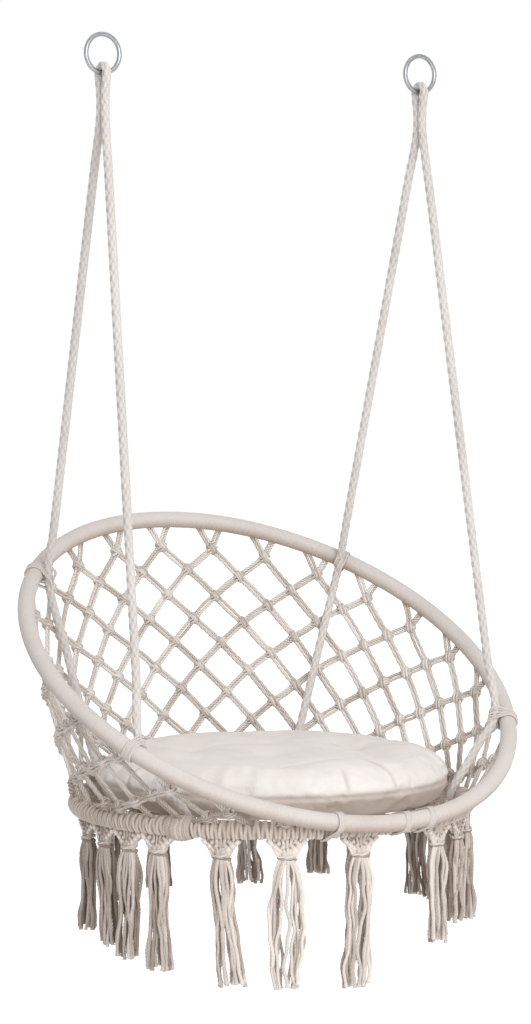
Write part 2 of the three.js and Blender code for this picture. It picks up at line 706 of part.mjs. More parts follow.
// Cushion: a round box cushion with a crown, sides that bulge between the top and bottom edges, and
// seven sewn tufts. It lies on the seat net inside the net's foot, dented where the rear ropes pass.
const cushionDiameter = 564;
const cushionThickness = 80;
const cushionEdgeThickness = 46;
const cushionForward = 4;
const cushionSideBulge = 16;
const tuftCircleDiameter = 300;
const tuftDepth = 14;
const tuftRadius = 34;
const ropeDentDepth = 9;
const ropeDentAngle = degrees(9);
const tufts = 6;
const cushionSteps = 48;
const topShares = [0, 0.14, 0.28, 0.4, 0.5, 0.6, 0.72, 0.84, 0.93, 1];
const sideShares = [0.2, 0.5, 0.8];
const bottomFlatShare = 0.86;
function cushion() {
  const floor = seatCentre.z + knotThickness / 2 + clearance;
  const centre = new THREE.Vector3(seatCentre.x, seatCentre.y - cushionForward, floor);
  const tuftPlaces = [new THREE.Vector2()];
  for (let k = 0; k < tufts; k += 1) {
    const turn = ((k + 1 / 2) / tufts) * 2 * Math.PI;
    tuftPlaces.push(new THREE.Vector2(Math.sin(turn), Math.cos(turn)).multiplyScalar(tuftCircleDiameter / 2));
  }
  const rimRadius = cushionDiameter / 2 - cushionSideBulge;
  const bottomEdge = (cushionThickness - cushionEdgeThickness) / 2;
  const dentAt = (angle) => {
    const away = Math.abs(Math.abs(angle) - rearLegFootAngle) / ropeDentAngle;
    return ropeDentDepth * Math.exp(-away * away);
  };
  const at = (radius, angle, height) =>
    new THREE.Vector3(
      centre.x + radius * Math.sin(angle),
      centre.y + radius * Math.cos(angle),
      centre.z + height,
    );
  const topHeight = (radius, angle) => {
    const share = radius / rimRadius;
    const crown = bottomEdge * (1 - share ** 4);
    let height = bottomEdge + cushionEdgeThickness + crown;
    for (const place of tuftPlaces) {
      const away = Math.hypot(radius * Math.sin(angle) - place.x, radius * Math.cos(angle) - place.y);
      height -= tuftDepth * Math.exp(-((away / tuftRadius) ** 2));
    }
    return height;
  };
  const points = [];
  const triangles = [];
  const angleOf = (k) => ((k % cushionSteps) / cushionSteps) * 2 * Math.PI;
  const signed = (angle) => (angle > Math.PI ? angle - 2 * Math.PI : angle);
  const rings = [];
  const addRing = (pointAt) => {
    rings.push(points.length);
    for (let k = 0; k < cushionSteps; k += 1) points.push(pointAt(angleOf(k)));
  };
  points.push(at(0, 0, topHeight(0, 0)));
  for (const share of topShares.slice(1)) {
    addRing((angle) => {
      const radius = share * (rimRadius - dentAt(signed(angle)));
      return at(radius, angle, topHeight(radius, angle));
    });
  }
  for (const share of sideShares) {
    addRing((angle) => {
      const bulge = cushionSideBulge * Math.sin(Math.PI * share);
      const radius = rimRadius - dentAt(signed(angle)) + bulge;
      return at(radius, angle, bottomEdge + cushionEdgeThickness * (1 - share));
    });
  }
  addRing((angle) => at(rimRadius - dentAt(signed(angle)), angle, bottomEdge));
  addRing((angle) => at(rimRadius * bottomFlatShare, angle, 0));
  const bottom = points.length;
  points.push(at(0, 0, 0));
  for (let k = 0; k < cushionSteps; k += 1) {
    const other = (k + 1) % cushionSteps;
    triangles.push([0, rings[0] + other, rings[0] + k]);
    for (let i = 0; i < rings.length - 1; i += 1) {
      triangles.push([rings[i] + k, rings[i] + other, rings[i + 1] + other]);
      triangles.push([rings[i] + k, rings[i + 1] + other, rings[i + 1] + k]);
    }
    const last = rings[rings.length - 1];
    triangles.push([last + k, last + other, bottom]);
  }
  return shell(points, triangles);
}
add("cushion", cushion(), cushionCotton);

export default chair;
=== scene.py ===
import math

import bpy
import numpy as np
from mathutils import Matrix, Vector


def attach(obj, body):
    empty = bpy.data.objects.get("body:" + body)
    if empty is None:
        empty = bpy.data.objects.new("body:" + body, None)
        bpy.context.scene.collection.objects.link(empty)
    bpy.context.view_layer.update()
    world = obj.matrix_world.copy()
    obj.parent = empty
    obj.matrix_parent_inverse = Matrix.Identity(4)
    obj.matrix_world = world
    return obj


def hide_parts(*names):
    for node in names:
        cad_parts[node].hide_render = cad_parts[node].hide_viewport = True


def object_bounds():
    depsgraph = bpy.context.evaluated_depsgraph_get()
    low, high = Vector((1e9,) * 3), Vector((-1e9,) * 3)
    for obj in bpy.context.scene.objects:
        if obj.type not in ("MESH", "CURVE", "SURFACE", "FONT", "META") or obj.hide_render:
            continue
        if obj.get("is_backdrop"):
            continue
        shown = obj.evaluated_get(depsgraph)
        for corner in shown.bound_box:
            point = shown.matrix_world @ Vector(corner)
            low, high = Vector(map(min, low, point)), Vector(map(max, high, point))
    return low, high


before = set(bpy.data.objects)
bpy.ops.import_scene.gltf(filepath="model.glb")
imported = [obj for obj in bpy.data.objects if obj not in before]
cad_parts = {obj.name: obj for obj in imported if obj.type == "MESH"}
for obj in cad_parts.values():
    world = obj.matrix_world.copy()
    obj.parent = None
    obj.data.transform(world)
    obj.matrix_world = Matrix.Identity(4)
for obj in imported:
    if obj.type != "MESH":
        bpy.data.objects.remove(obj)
cad_box = [list(corner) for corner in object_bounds()]


# The view: the camera stands where the photograph's did, 34 degrees round to the left of the chair's
# front and almost level with it. Soft white studio light comes from the upper right, and the floor
# is pale and matt.
photo_height = 1024
focal_pixels = 3070
view_azimuth = math.radians(-33.99)
view_elevation = math.radians(2.737)
view_distance = 4.699
view_target = np.array([-0.0072, -0.0071, -0.7072])
world_strength = 0.69
# Softboxes: metres to the right of the target, towards the camera and up, then diameter and watts.
lamps = {"key_softbox": (1.1, 2.7, 0.85, 1.8, 51.0), "top_softbox": (0.4, 0.6, 2.6, 2.4, 4.0)}
floor_height = -1.66
floor_size = 30.0
floor_glow = 0.6
floor_white, studio_white = "#f4f4f4", "#ffffff"
tau = 2 * np.pi
upward = np.array([0.0, 0.0, 1.0])
scene = bpy.context.scene
scene.view_settings.view_transform = "Standard"


def linear(colour):
    """sRGB hex to linear: a channel c is c / 12.92 up to 0.04045, ((c + 0.055) / 1.055) ** 2.4 above."""
    c = np.array([int(colour[i:i + 2], 16) for i in (1, 3, 5)]) / 255
    return (*np.where(c <= 0.04045, c / 12.92, ((c + 0.055) / 1.055) ** 2.4), 1.0)


def put_in_scene(name, data):
    """A new object in the scene that holds this mesh, lamp or camera."""
    piece = bpy.data.objects.new(name, data)
    scene.collection.objects.link(piece)
    return piece


def add_node(tree, kind, settings={}, inputs={}):
    """The outputs of a new node with these settings, each input of which gets its value or its link."""
    node = tree.nodes.new("ShaderNode" + kind)
    for name, value in settings.items():
        setattr(node, name, value)
    for name, value in inputs.items():
        if isinstance(value, bpy.types.NodeSocket):
            tree.links.new(value, node.inputs[name])
        else:
            node.inputs[name].default_value = value
    return node.outputs


def new_tree(owner):
    """The empty node tree of a material or the world."""
    owner.use_nodes = True
    owner.node_tree.nodes.clear()
    return owner.node_tree


def new_material(name):
    """A material and its empty node tree."""
    material = bpy.data.materials.new(name)
    return material, new_tree(material)


def seen_directly(tree):
    """1 for a ray from the camera, a mirror reflection or a view through glass, and 0 for any other."""
    rays = add_node(tree, "LightPath")
    seen = rays["Is Camera Ray"]
    for kind in ("Is Glossy Ray", "Is Transmission Ray"):
        seen = add_node(tree, "Math", {"operation": "MAXIMUM"}, {0: seen, 1: rays[kind]})[0]
    return seen


back_of_camera = np.array([
    math.sin(view_azimuth) * math.cos(view_elevation),
    -math.cos(view_azimuth) * math.cos(view_elevation),
    math.sin(view_elevation),
])
right_of_camera = np.array([math.cos(view_azimuth), math.sin(view_azimuth), 0.0])
lens = bpy.data.cameras.new("photo_camera")
lens.lens = focal_pixels * lens.sensor_width / photo_height
scene.camera = put_in_scene("photo_camera", lens)
scene.camera.location = view_target + view_distance * back_of_camera
scene.camera.rotation_euler = (math.pi / 2 - view_elevation, 0.0, view_azimuth)

scene.world = bpy.data.worlds.new("white_studio")
tree = new_tree(scene.world)
soft, white = (
    add_node(tree, "Background", inputs={"Color": linear(studio_white), "Strength": strength})[0]
    for strength in (world_strength, 1.0)
)
mixed = add_node(tree, "MixShader", inputs={0: seen_directly(tree), 1: soft, 2: white})[0]
add_node(tree, "OutputWorld", inputs={"Surface": mixed})

for name, (to_right, to_camera, rise, size, power) in lamps.items():
    lamp = bpy.data.lights.new(name, "AREA")
    lamp.shape, lamp.size, lamp.energy = "DISK", size, power
    place = view_target + (to_right * right_of_camera + to_camera * back_of_camera) + rise * upward
    aim = place - view_target
    softbox = put_in_scene(name, lamp)
    softbox.location = place
    softbox.rotation_euler = (math.acos(aim[2] / np.linalg.norm(aim)), 0.0, math.atan2(aim[0], -aim[1]))

# White floor paint, matt: it keeps the chair's soft shadow, and its direct view is lifted to pure white.
floor_paint, tree = new_material("matt_white_floor_paint")
matt = add_node(tree, "BsdfDiffuse", inputs={"Color": linear(floor_white)})[0]
glow = add_node(tree, "Emission", inputs={"Color": linear(studio_white), "Strength": floor_glow})[0]
lifted = add_node(tree, "AddShader", inputs={0: matt, 1: glow})[0]
chosen = add_node(tree, "MixShader", inputs={0: seen_directly(tree), 1: matt, 2: lifted})[0]
add_node(tree, "OutputMaterial", inputs={"Surface": chosen})
floor_mesh = bpy.data.meshes.new("studio_floor")
half = floor_size / 2
corners = [(-half, -half), (half, -half), (half, half), (-half, half)]
floor_mesh.from_pydata([(x, y, floor_height) for x, y in corners], [], [(0, 1, 2, 3)])
floor_mesh.materials.append(floor_paint)
floor = put_in_scene("studio_floor", floor_mesh)
floor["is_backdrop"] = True


# Hanging rings: two rings of 7 mm steel wire, bent round, butt-welded and zinc-plated. Each hangs on
# an overhead hook and carries a folded rope.
ring_bore = 0.050
ring_wire = 0.007
ring_steps = 96
ring_radius = (ring_bore + ring_wire) / 2
rope_spread = 0.582
weld_swell = 0.09
weld_length = 0.005
weld_share = 0.62
weld_place = weld_share * tau * ring_radius


def full_turn(count):
    """Evenly spaced angles round a full turn, from 0."""
    return np.arange(count) / count * tau


def unit(vectors):
    """Vectors divided by their lengths."""
    return vectors / np.linalg.norm(vectors, axis=-1, keepdims=True)


def bell(away, width):
    """1 at the middle, falling as e to the minus square of away / width."""
    return np.exp(-(away / width) ** 2)


def sweep(paths, facing, relief, sides, closed=False):
    """Skins along paths, an array (tubes, points, 3). Round a point P the skin is P + r (cos a N + sin a B):
    T is the path's direction, N the facing vector made square to T, B = T x N, and relief gives r from the
    distance s along the path and the angle a. Returns the rings and their tone: 0 in the deepest groove,
    1 on the highest crest."""
    if closed:
        steps = np.roll(paths, -1, 1) - np.roll(paths, 1, 1)
        lengths = np.linalg.norm(np.roll(paths, -1, 1) - paths, axis=-1)
    else:
        steps = np.gradient(paths, axis=1)
        lengths = np.linalg.norm(np.diff(paths, axis=1), axis=-1)
    s = np.concatenate([np.zeros((len(paths), 1)), np.cumsum(lengths, 1)], 1)[:, :paths.shape[1], None]
    along = unit(steps)
    facing = np.broadcast_to(facing, paths.shape)
    normal = unit(facing - np.sum(facing * along, -1, keepdims=True) * along)
    side = np.cross(along, normal)
    turn = full_turn(sides)
    radius = np.broadcast_to(relief(s, turn[None, None, :]), (*paths.shape[:2], sides))
    lowest, highest = radius.min((1, 2), keepdims=True), radius.max((1, 2), keepdims=True)
    tone = (radius - lowest) / np.maximum(highest - lowest, 1e-9)
    a = turn[None, None, :, None]
    outward = np.cos(a) * normal[:, :, None] + np.sin(a) * side[:, :, None]
    return paths[:, :, None] + radius[..., None] * outward, tone


def set_places(mesh, places):
    """Moves the vertices of a mesh to these places."""
    mesh.vertices.foreach_set("co", places.astype(np.float32).ravel())


def set_tone(mesh, tone):
    """Gives each vertex of a mesh its value of the attribute tone."""
    mesh.attributes.new("tone", "FLOAT", "POINT").data.foreach_set("value", tone.astype(np.float32))


def skin_mesh(name, skins, thickness, spread=0.25):
    """A mesh from several (rings, tone, closed) skins. Neighbouring rings are joined by four-sided faces,
    and open ends are closed by one face each. The UV map holds metres along and round skins of this radius,
    and the attribute tone is the skins' own, moved for each tube by at most the spread."""
    points, corners, sizes, uvs, tones = [], [], [], [], []
    first = 0
    for rings, tone, closed in skins:
        tubes, count, sides, _ = rings.shape
        spacing = np.linalg.norm(rings - np.roll(rings, 1, 1), axis=-1).mean(-1)
        spacing[:, 0] = 0
        run = np.cumsum(spacing, 1)
        run = np.concatenate([run, run[:, -1:] * count / (count - 1)], 1)
        tone_moves = np.random.default_rng(tubes * count).uniform(-spread, spread, (tubes, 1, 1))
        tones.append((tone + tone_moves).ravel())
        spans = count if closed else count - 1
        tube, i, k = np.meshgrid(np.arange(tubes), np.arange(spans), np.arange(sides), indexing="ij")
        steps = [(i, k), (i, k + 1), (i + 1, k + 1), (i + 1, k)]
        quads = np.stack([first + (tube * count + a % count) * sides + b % sides for a, b in steps], -1)
        corners.append(quads.ravel())
        sizes.append(np.full(quads.size // 4, 4))
        metres = [np.stack([run[tube, a], b * (tau * thickness) / sides], -1) for a, b in steps]
        uvs.append(np.stack(metres, -2).reshape(-1, 2))
        if not closed:
            starts = first + np.arange(tubes)[:, None] * count * sides
            for cap in (starts + np.arange(sides)[::-1], starts + (count - 1) * sides + np.arange(sides)):
                corners.append(cap.ravel())
                sizes.append(np.full(tubes, sides))
                uvs.append(np.zeros((cap.size, 2)))
        points.append(rings.reshape(-1, 3))
        first += tubes * count * sides
    points, corners, sizes, uvs, tones = (np.concatenate(x) for x in (points, corners, sizes, uvs, tones))
    mesh = bpy.data.meshes.new(name)
    mesh.vertices.add(len(points))
    set_places(mesh, points)
    mesh.loops.add(len(corners))
    mesh.loops.foreach_set("vertex_index", corners.astype(np.int32))
    mesh.polygons.add(len(sizes))
    mesh.polygons.foreach_set("loop_start", (np.cumsum(sizes) - sizes).astype(np.int32))
    mesh.update(calc_edges=True)
    mesh.uv_layers.new(name="UVMap").data.foreach_set("uv", uvs.astype(np.float32).ravel())
    set_tone(mesh, tones)
    mesh.validate()
    mesh.shade_smooth()
    return mesh


def dress(name, mesh, finish, body, *nodes):
    """Puts a mesh into the scene as a piece with the material of its finish, its body and the CAD nodes it
    stands for. The finish is a material and the name of its slot; the slot's name is not used."""
    material, slot = finish
    piece = put_in_scene(name, mesh)
    mesh.materials.clear()
    mesh.materials.append(material)
    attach(piece, body)
    if nodes:
        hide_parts(*nodes)
    return piece


def skin_piece(name, skins, thickness, finish, *nodes, body="chair", spread=0.25):
    """A dressed piece made from skins."""
    dress(name, skin_mesh(name, skins, thickness, spread), finish, body, *nodes)


def object_place(tree):
    """The place on the piece in metres."""
    return add_node(tree, "TexCoord")["Object"]


def scaled_uv(tree, scale, turn=0.0):
    """The UV map's metres multiplied by the scale, then turned in the surface."""
    inputs = {"Rotation": (0.0, 0.0, turn), "Scale": scale}
    inputs["Vector"] = add_node(tree, "UVMap", {"uv_map": "UVMap"})[0]
    return add_node(tree, "Mapping", inputs=inputs)[0]


def noise(tree, place, scale, detail=2.0):
    """Noise with scale cells to a unit of the place, and detail finer layers."""
    return add_node(tree, "TexNoise", inputs={"Vector": place, "Scale": scale, "Detail": detail})[0]


def bump(tree, height, strength, distance):
    """The normal tilted by the slope of a height, whose 1 stands for the distance in metres."""
    inputs = {"Height": height, "Strength": strength, "Distance": distance}
    return add_node(tree, "Bump", inputs=inputs)[0]


def ramp(tree, value, shade, light, low=0.0, high=1.0):
    """A colour that runs straight from shade at the low value to light at the high one."""
    ramped = add_node(tree, "ValToRGB", inputs={"Fac": value})[0]
    for stop, place, colour in zip(ramped.node.color_ramp.elements, (low, high), (shade, light)):
        stop.position, stop.color = place, linear(colour)
    return ramped


def finish_surface(tree, inputs):
    """Adds the surface shader with these inputs and makes it the material's output."""
    surface = add_node(tree, "BsdfPrincipled", inputs=inputs)[0]
    add_node(tree, "OutputMaterial", inputs={"Surface": surface})


def welded_wire(s, a):
    """The wire's radius, with a bell's swelling at the weld."""
    return ring_wire / 2 * (1 + weld_swell * bell(s - weld_place, weld_length))


# Zinc-plated steel wire: satin grey metal with faint drawing lines along the wire and a cloudy plating.
zinc_plate, tree = new_material("zinc_plated_steel_wire")
drawn_lines = noise(tree, scaled_uv(tree, (40.0, 3000.0, 1.0)), 1.0)
finish_surface(tree, {
    "Base Color": ramp(tree, noise(tree, object_place(tree), 220.0), "#7d7f82", "#b3b5b8"),
    "Metallic": 1.0, "Roughness": 0.34, "Normal": bump(tree, drawn_lines, 0.35, 0.0002),
})

ring_turn = full_turn(ring_steps)
for side, name in ((-1, "left_ring"), (1, "right_ring")):
    wire = np.stack([
        side * rope_spread / 2 + ring_radius * np.cos(ring_turn),
        np.zeros(ring_steps),
        ring_radius * np.sin(ring_turn) - ring_bore / 2,
    ], -1)[None]
    skin = sweep(wire, (0.0, 1.0, 0.0), welded_wire, sides=20, closed=True)
    finish = zinc_plate, "ring_steel"
    skin_piece(name + "_wire", [(*skin, True)], ring_wire / 2, finish, name, body="hangers")


# Back hoop: a bent and welded steel tube, and wound close round it a single soft cotton cord, whose
# turns lie side by side, so that only fine ridges show.
back_hoop_radius = 0.387
back_hoop_tilt = math.radians(32.2)
back_wrap_radius = 0.013
seat_hoop_radius = 0.298
seat_wrap_radius = 0.0145
seat_centre = np.array([0.0, -0.012, -1.152])
contact_angle = math.radians(14)
contact_gap = 0.0006
hoop_spacing = back_wrap_radius + seat_wrap_radius + contact_gap
back_centre = seat_centre + np.array([
    0.0,
    -seat_hoop_radius - hoop_spacing * math.cos(contact_angle) + back_hoop_radius * math.cos(back_hoop_tilt),
    hoop_spacing * math.sin(contact_angle) + back_hoop_radius * math.sin(back_hoop_tilt),
])
winding_turns = 600
winding_samples = 6
winding_pitch = tau * back_hoop_radius / winding_turns
winding_ridge = 0.0005
winding_random = 0.00012
cord_lightness, ridge_lightness = 0.6, 0.13
# Painted shade on the winding's underside: how far the tone falls, and how far above the tube's middle it
# starts.
painted_underside_shade, underside_start = 0.58, 0.15
pattern_share = 0.35


def on_back_hoop(angle):
    """The back hoop's line: centre + radius (sin a, cos a cos tilt, cos a sin tilt), a from its top."""
    angle = np.asarray(angle, float)
    across, along = np.sin(angle), np.cos(angle)
    tilted = np.stack([across, along * math.cos(back_hoop_tilt), along * math.sin(back_hoop_tilt)], -1)
    return back_centre + back_hoop_radius * tilted


def on_seat_hoop(angle):
    """The seat hoop's line: centre + radius (sin a, cos a, 0), a from the middle of the back."""
    angle = np.asarray(angle, float)
    return seat_centre + seat_hoop_radius * np.stack([np.sin(angle), np.cos(angle), 0 * angle], -1)


def round_ridge(place):
    """A round cord's profile over one pitch: the root of 1 - (2 f - 1)^2, f being what follows the point."""
    part = place - np.floor(place)
    return np.sqrt(np.clip(1 - (2 * part - 1) ** 2, 0, 1))


def winding(s, a):
    """The winding's outside: the cord's ridge, whose place moves by one pitch in a turn round the tube."""
    place = s / winding_pitch - a / tau
    uneven = random_turns[np.floor(place).astype(int) % winding_turns]
    return back_wrap_radius - winding_ridge * (1 - round_ridge(place)) + uneven * round_ridge(place)


def cotton(name, shade, light, ply_lay, fibre, sheen, groove=0.45):
    """Cotton yarn: the tone attribute paints shade into the grooves and light onto the crests, so its colour
    runs from shade there to light there; it also drifts in patches, and has fine streaks that follow the
    twist and lift as short fibres. The twist moves fibre metres round in ply_lay metres."""
    material, tree = new_material(name)
    streaks = noise(tree, scaled_uv(tree, (160.0, 1500.0, 1.0), math.atan2(fibre, ply_lay)), 1.0, 3.0)
    patches = noise(tree, object_place(tree), 9.0, 4.0)
    # Painted shade and light: the tone, low in the grooves and high on the crests, moves the colour from
    # shade to light.
    tone = add_node(tree, "Attribute", {"attribute_name": "tone"})["Fac"]
    mixed = add_node(tree, "Math", {"operation": "MULTIPLY"}, {0: tone, 1: groove})[0]
    for pattern in (streaks, patches):
        inputs = {0: pattern, 1: pattern_share, 2: mixed}
        mixed = add_node(tree, "Math", {"operation": "MULTIPLY_ADD"}, inputs)[0]
    finish_surface(tree, {
        "Base Color": ramp(tree, mixed, shade, light, 0.3, 0.8), "Roughness": 0.92,
        "Normal": bump(tree, streaks, 0.5, 0.0005),
        "Sheen Weight": sheen, "Sheen Roughness": 0.5, "Specular IOR Level": 0.25,
    })
    return material


# Mild steel tube, bent and welded, unplated: dull grey with a cloudy mill skin, hidden below the cord.
mill_steel, tree = new_material("mill_finish_steel_tube")
mill_cloud = noise(tree, object_place(tree), 60.0, 6.0)
finish_surface(tree, {
    "Base Color": ramp(tree, mill_cloud, "#5d5f62", "#86898c"), "Metallic": 1.0, "Roughness": 0.5,
})
for name in ("back_hoop_tube", "seat_hoop_tube"):
    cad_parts[name].data.materials.clear()
    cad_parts[name].data.materials.append(mill_steel)

# Soft single-twist cotton cord in off-white: matt, with a slight pinkish cast and fine fibres. On the hoop's
# underside a painted shade turns it tan, and its grooves get painted shade too.
wound_cord = cotton("wound_offwhite_cotton_cord", "#ae9886", "#d3ccc7", 0.004, 0.020, 0.15, groove=0.6)
hoop_finish = wound_cord, "hoop_cotton"
random_turns = np.random.default_rng(11).uniform(-1, 1, winding_turns) * winding_random
hoop_line = on_back_hoop(full_turn(winding_turns * winding_samples))[None]
rings, tone = sweep(hoop_line, back_centre - hoop_line, winding, sides=22, closed=True)
# Painted shade: the tone falls towards the hoop's underside and in the grooves between the turns.
below_line = (hoop_line[:, :, None] - rings)[..., 2] / back_wrap_radius
painted_underside_mask = np.clip(below_line + underside_start, 0, 1)
tone = cord_lightness + ridge_lightness * tone - painted_underside_shade * painted_underside_mask
skins = [(rings, tone, True)]
skin_piece("back_hoop_winding", skins, back_wrap_radius, hoop_finish, "back_hoop_wrap", spread=0.0)


# Seat hoop: a smaller steel tube, covered by pairs of half hitches in natural cord. The two loops
# of a pair lie close together on top and part below, where the fringe hangs from them.
hitch_pairs = 156
hitch_samples = 14
hitch_length = tau * seat_hoop_radius / hitch_pairs
hitch_cord = 0.0025
hitch_offset, hitch_half_width = 0.25, 0.24
hitch_slant = 0.13
hitch_uneven_slant, hitch_uneven_turn, hitch_uneven_size = 0.05, 0.3, 0.14
bar_turn, bar_width = np.pi / 3, 0.28
bar_half_length = 0.42
bar_height = 0.0012
hitch_contrast, hitch_shade = 1.5, 0.35


def half_hitches(s, a):
    """Two round ridges per pair, each the offset from its middle, less on top and more below by the slant,
    and a bar across both where they close on the outer underside. Each pair is uneven in its own way."""
    pair = np.floor(s / hitch_length).astype(int) % hitch_pairs
    uneven = hitch_random[:, pair]
    part = s / hitch_length - np.floor(s / hitch_length) - 0.5
    slant = hitch_slant + hitch_uneven_slant * uneven[0]
    offset = hitch_offset - slant * np.sin(a + hitch_uneven_turn * uneven[1])
    loops = [
        (1 - hitch_uneven_size + hitch_uneven_size * sign * uneven[2])
        * np.sqrt(np.clip(1 - ((part - sign * offset) / hitch_half_width) ** 2, 0, 1))
        for sign in (-1, 1)
    ]
    from_bar = np.abs((a + bar_turn + np.pi) % tau - np.pi)
    bar = bell(from_bar, bar_width) * np.clip(1 - (np.abs(part) / bar_half_length) ** 4, 0, 1)
    return seat_wrap_radius - hitch_cord + hitch_cord * np.maximum(*loops) + bar_height * bar


# Half-hitched natural cotton cord, three-ply: beige and matt, browner with painted shade between the tight
# loops.
hitched_cord = cotton("half_hitched_cotton_cord", "#a89586", "#ece2da", 0.015, 0.016, 0.12)
seat_finish = hitched_cord, "seat_hoop_cotton"
hitch_random = np.random.default_rng(3).uniform(-1, 1, (3, hitch_pairs))
seat_line = on_seat_hoop(full_turn(hitch_pairs * hitch_samples))[None]
rings, tone = sweep(seat_line, seat_line - seat_centre, half_hitches, sides=24, closed=True)
# Painted shade: the contrast and the shade taken off the tone make the hitches' grooves darker still.
skins = [(rings, hitch_contrast * tone - hitch_shade, True)]
skin_piece("seat_hoop_half_hitches", skins, seat_wrap_radius, seat_finish, "seat_hoop_wrap")


# Ropes: on each side one braided cotton rope is folded over the ring. Its two legs hang side by side,
# part, cross the inner side of the back hoop and end in a turn under the seat hoop.
rope_radius = 0.007
rope_step = 0.0016
legs_together = 0.062
legs_draw_in = 0.026
rear_leg, front_leg = math.radians(48.5), math.radians(117.7)
rear_foot, front_foot = math.radians(40), math.radians(120)
foot_length = 0.05
foot_squeeze = 0.42
play = 0.00035
back_reach = 0.01434
seat_reach = 0.01561
bound_radius = ring_wire / 2 + rope_radius + play
leg_gap = rope_radius + play / 2
wire_drop = ring_bore + ring_wire / 2
bend_steps = 9
foot_steps = 9
braid_strands = 4
braid_lay = 0.068
braid_round = 0.0017
braid_weave = 0.0011


def crossing_point(side, angle):
    """Where a leg's centre line passes the back hoop, on its inner side."""
    hoop = on_back_hoop(side * angle)
    return hoop + unit(back_centre - hoop) * (back_reach + rope_radius)


def foot_points(side, angle, crossing):
    """An arc under the seat hoop, from where the straight leg meets it to the hoop's outer side. It starts
    at reach from the hoop's line and comes closer as the rope is squeezed."""
    seat = on_seat_hoop(side * angle)
    inward = unit(seat_centre - seat)
    reach = (seat_reach + rope_radius) / math.cos(math.pi / 16)
    above = np.array([np.dot(crossing - seat, inward), crossing[2] - seat[2]])
    start = math.atan2(above[1], above[0]) - math.acos(reach / np.linalg.norm(above))
    share = np.linspace(0, 1, foot_steps)
    turn = start - share * (start + math.pi)
    closer = reach - np.minimum(share * 2, 1) * 2 * rope_radius * (1 - foot_squeeze)
    heading = np.cos(turn)[:, None] * inward + np.sin(turn)[:, None] * upward
    return seat + closer[:, None] * heading


def fork_of(side, towards):
    """Where the two legs of a rope part, below the ring."""
    return np.array([side * rope_spread / 2, towards * leg_gap, -wire_drop - legs_together])


def leg_points(side, towards, angle, foot_angle):
    """A leg's centre line: beside the ring's wire, together with the other leg, apart, crossing, foot."""
    x = side * rope_spread / 2
    beside = [
        [x, towards * bound_radius, -wire_drop - rope_radius],
        [x, towards * leg_gap, -wire_drop - legs_draw_in],
    ]
    fork, crossing = fork_of(side, towards), crossing_point(side, angle)
    foot = foot_points(side, foot_angle, crossing)
    upper = fork + (crossing - fork) * np.arange(9)[:, None] / 9
    lower = crossing + (foot[0] - crossing) * np.arange(3)[:, None] / 3
    return np.concatenate([beside, upper, lower, foot])


def resampled(line, spacing):
    """Points on a line at the distances along it that the spacing gives for its whole length."""
    run = np.concatenate([[0], np.cumsum(np.linalg.norm(np.diff(line, axis=0), axis=1))])
    return np.stack([np.interp(spacing(run[-1]), run, column) for column in line.T], -1)


def smooth_line(points, step):
    """A centripetal Catmull-Rom curve through points, resampled every step: knots are spaced by the root of
    each chord, and each span blends its four points in three rounds of straight blends."""
    p = np.concatenate([2 * points[:1] - points[1:2], points, 2 * points[-1:] - points[-2:-1]])
    t = np.concatenate([[0], np.cumsum(np.sqrt(np.linalg.norm(np.diff(p, axis=0), axis=1)))])
    spans = len(points) - 1
    t0, t1, t2, t3 = (t[i:i + spans, None, None] for i in range(4))
    p0, p1, p2, p3 = (p[i:i + spans, None] for i in range(4))
    at = t1 + (t2 - t1) * np.linspace(0, 1, 24, endpoint=False)[None, :, None]
    blend = lambda a, b, ta, tb: a * (tb - at) / (tb - ta) + b * (at - ta) / (tb - ta)
    a1, a2, a3 = blend(p0, p1, t0, t1), blend(p1, p2, t1, t2), blend(p2, p3, t2, t3)
    b1, b2 = blend(a1, a2, t0, t2), blend(a2, a3, t1, t3)
    curve = np.concatenate([blend(b1, b2, t1, t2).reshape(-1, 3), points[-1:]])
    return resampled(curve, lambda length: np.linspace(0, length, int(length / step) + 1))


def braid(s, a):
    """A round braid of two sets of strands that wind opposite ways. Across a strand its height is a round
    ridge, along it a cosine that is high where it crosses over and low where it passes under. Towards the
    rope's ends, which are whipped to the seat hoop, the whole is squeezed thinner."""
    u = braid_strands * (a / tau + s / braid_lay)
    v = braid_strands * (a / tau - s / braid_lay)
    over = np.where((np.floor(u) + np.floor(v)) % 2 == 0, 1.0, -1.0)
    first = braid_round * round_ridge(u) + braid_weave * over * np.cos(np.pi * (v - np.floor(v) - 0.5))
    second = braid_round * round_ridge(v) - braid_weave * over * np.cos(np.pi * (u - np.floor(u) - 0.5))
    ends = np.clip(np.minimum(s, s.max() - s) / foot_length, 0, 1)
    squeeze = foot_squeeze + (1 - foot_squeeze) * ends
    return (rope_radius - braid_round - braid_weave + np.maximum(first, second)) * squeeze


# Braided cotton rope in off-white: matt, soft, with short fibres along each strand.
rope_cord = cotton("braided_offwhite_cotton_rope", "#9f948c", "#e1dbd7", 0.068, 0.044, 0.15)
bend_turn = np.linspace(0, np.pi, bend_steps)
for side, name in ((-1, "left_rope"), (1, "right_rope")):
    bend = np.stack([
        np.full(bend_steps, side * rope_spread / 2),
        -bound_radius * np.cos(bend_turn),
        bound_radius * np.sin(bend_turn) - wire_drop,
    ], -1)
    front = leg_points(side, -1, front_leg, front_foot)[::-1]
    rear = leg_points(side, 1, rear_leg, rear_foot)
    line = smooth_line(np.concatenate([front, bend, rear]), rope_step)[None]
    skin = sweep(line, (1.0, 0.0, 0.0), braid, sides=32)
    # Painted shade: the braid's tone darkens the rope between its strands.
    skin_piece(name + "_braid", [(*skin, False)], rope_radius, (rope_cord, "rope_cotton"), name)


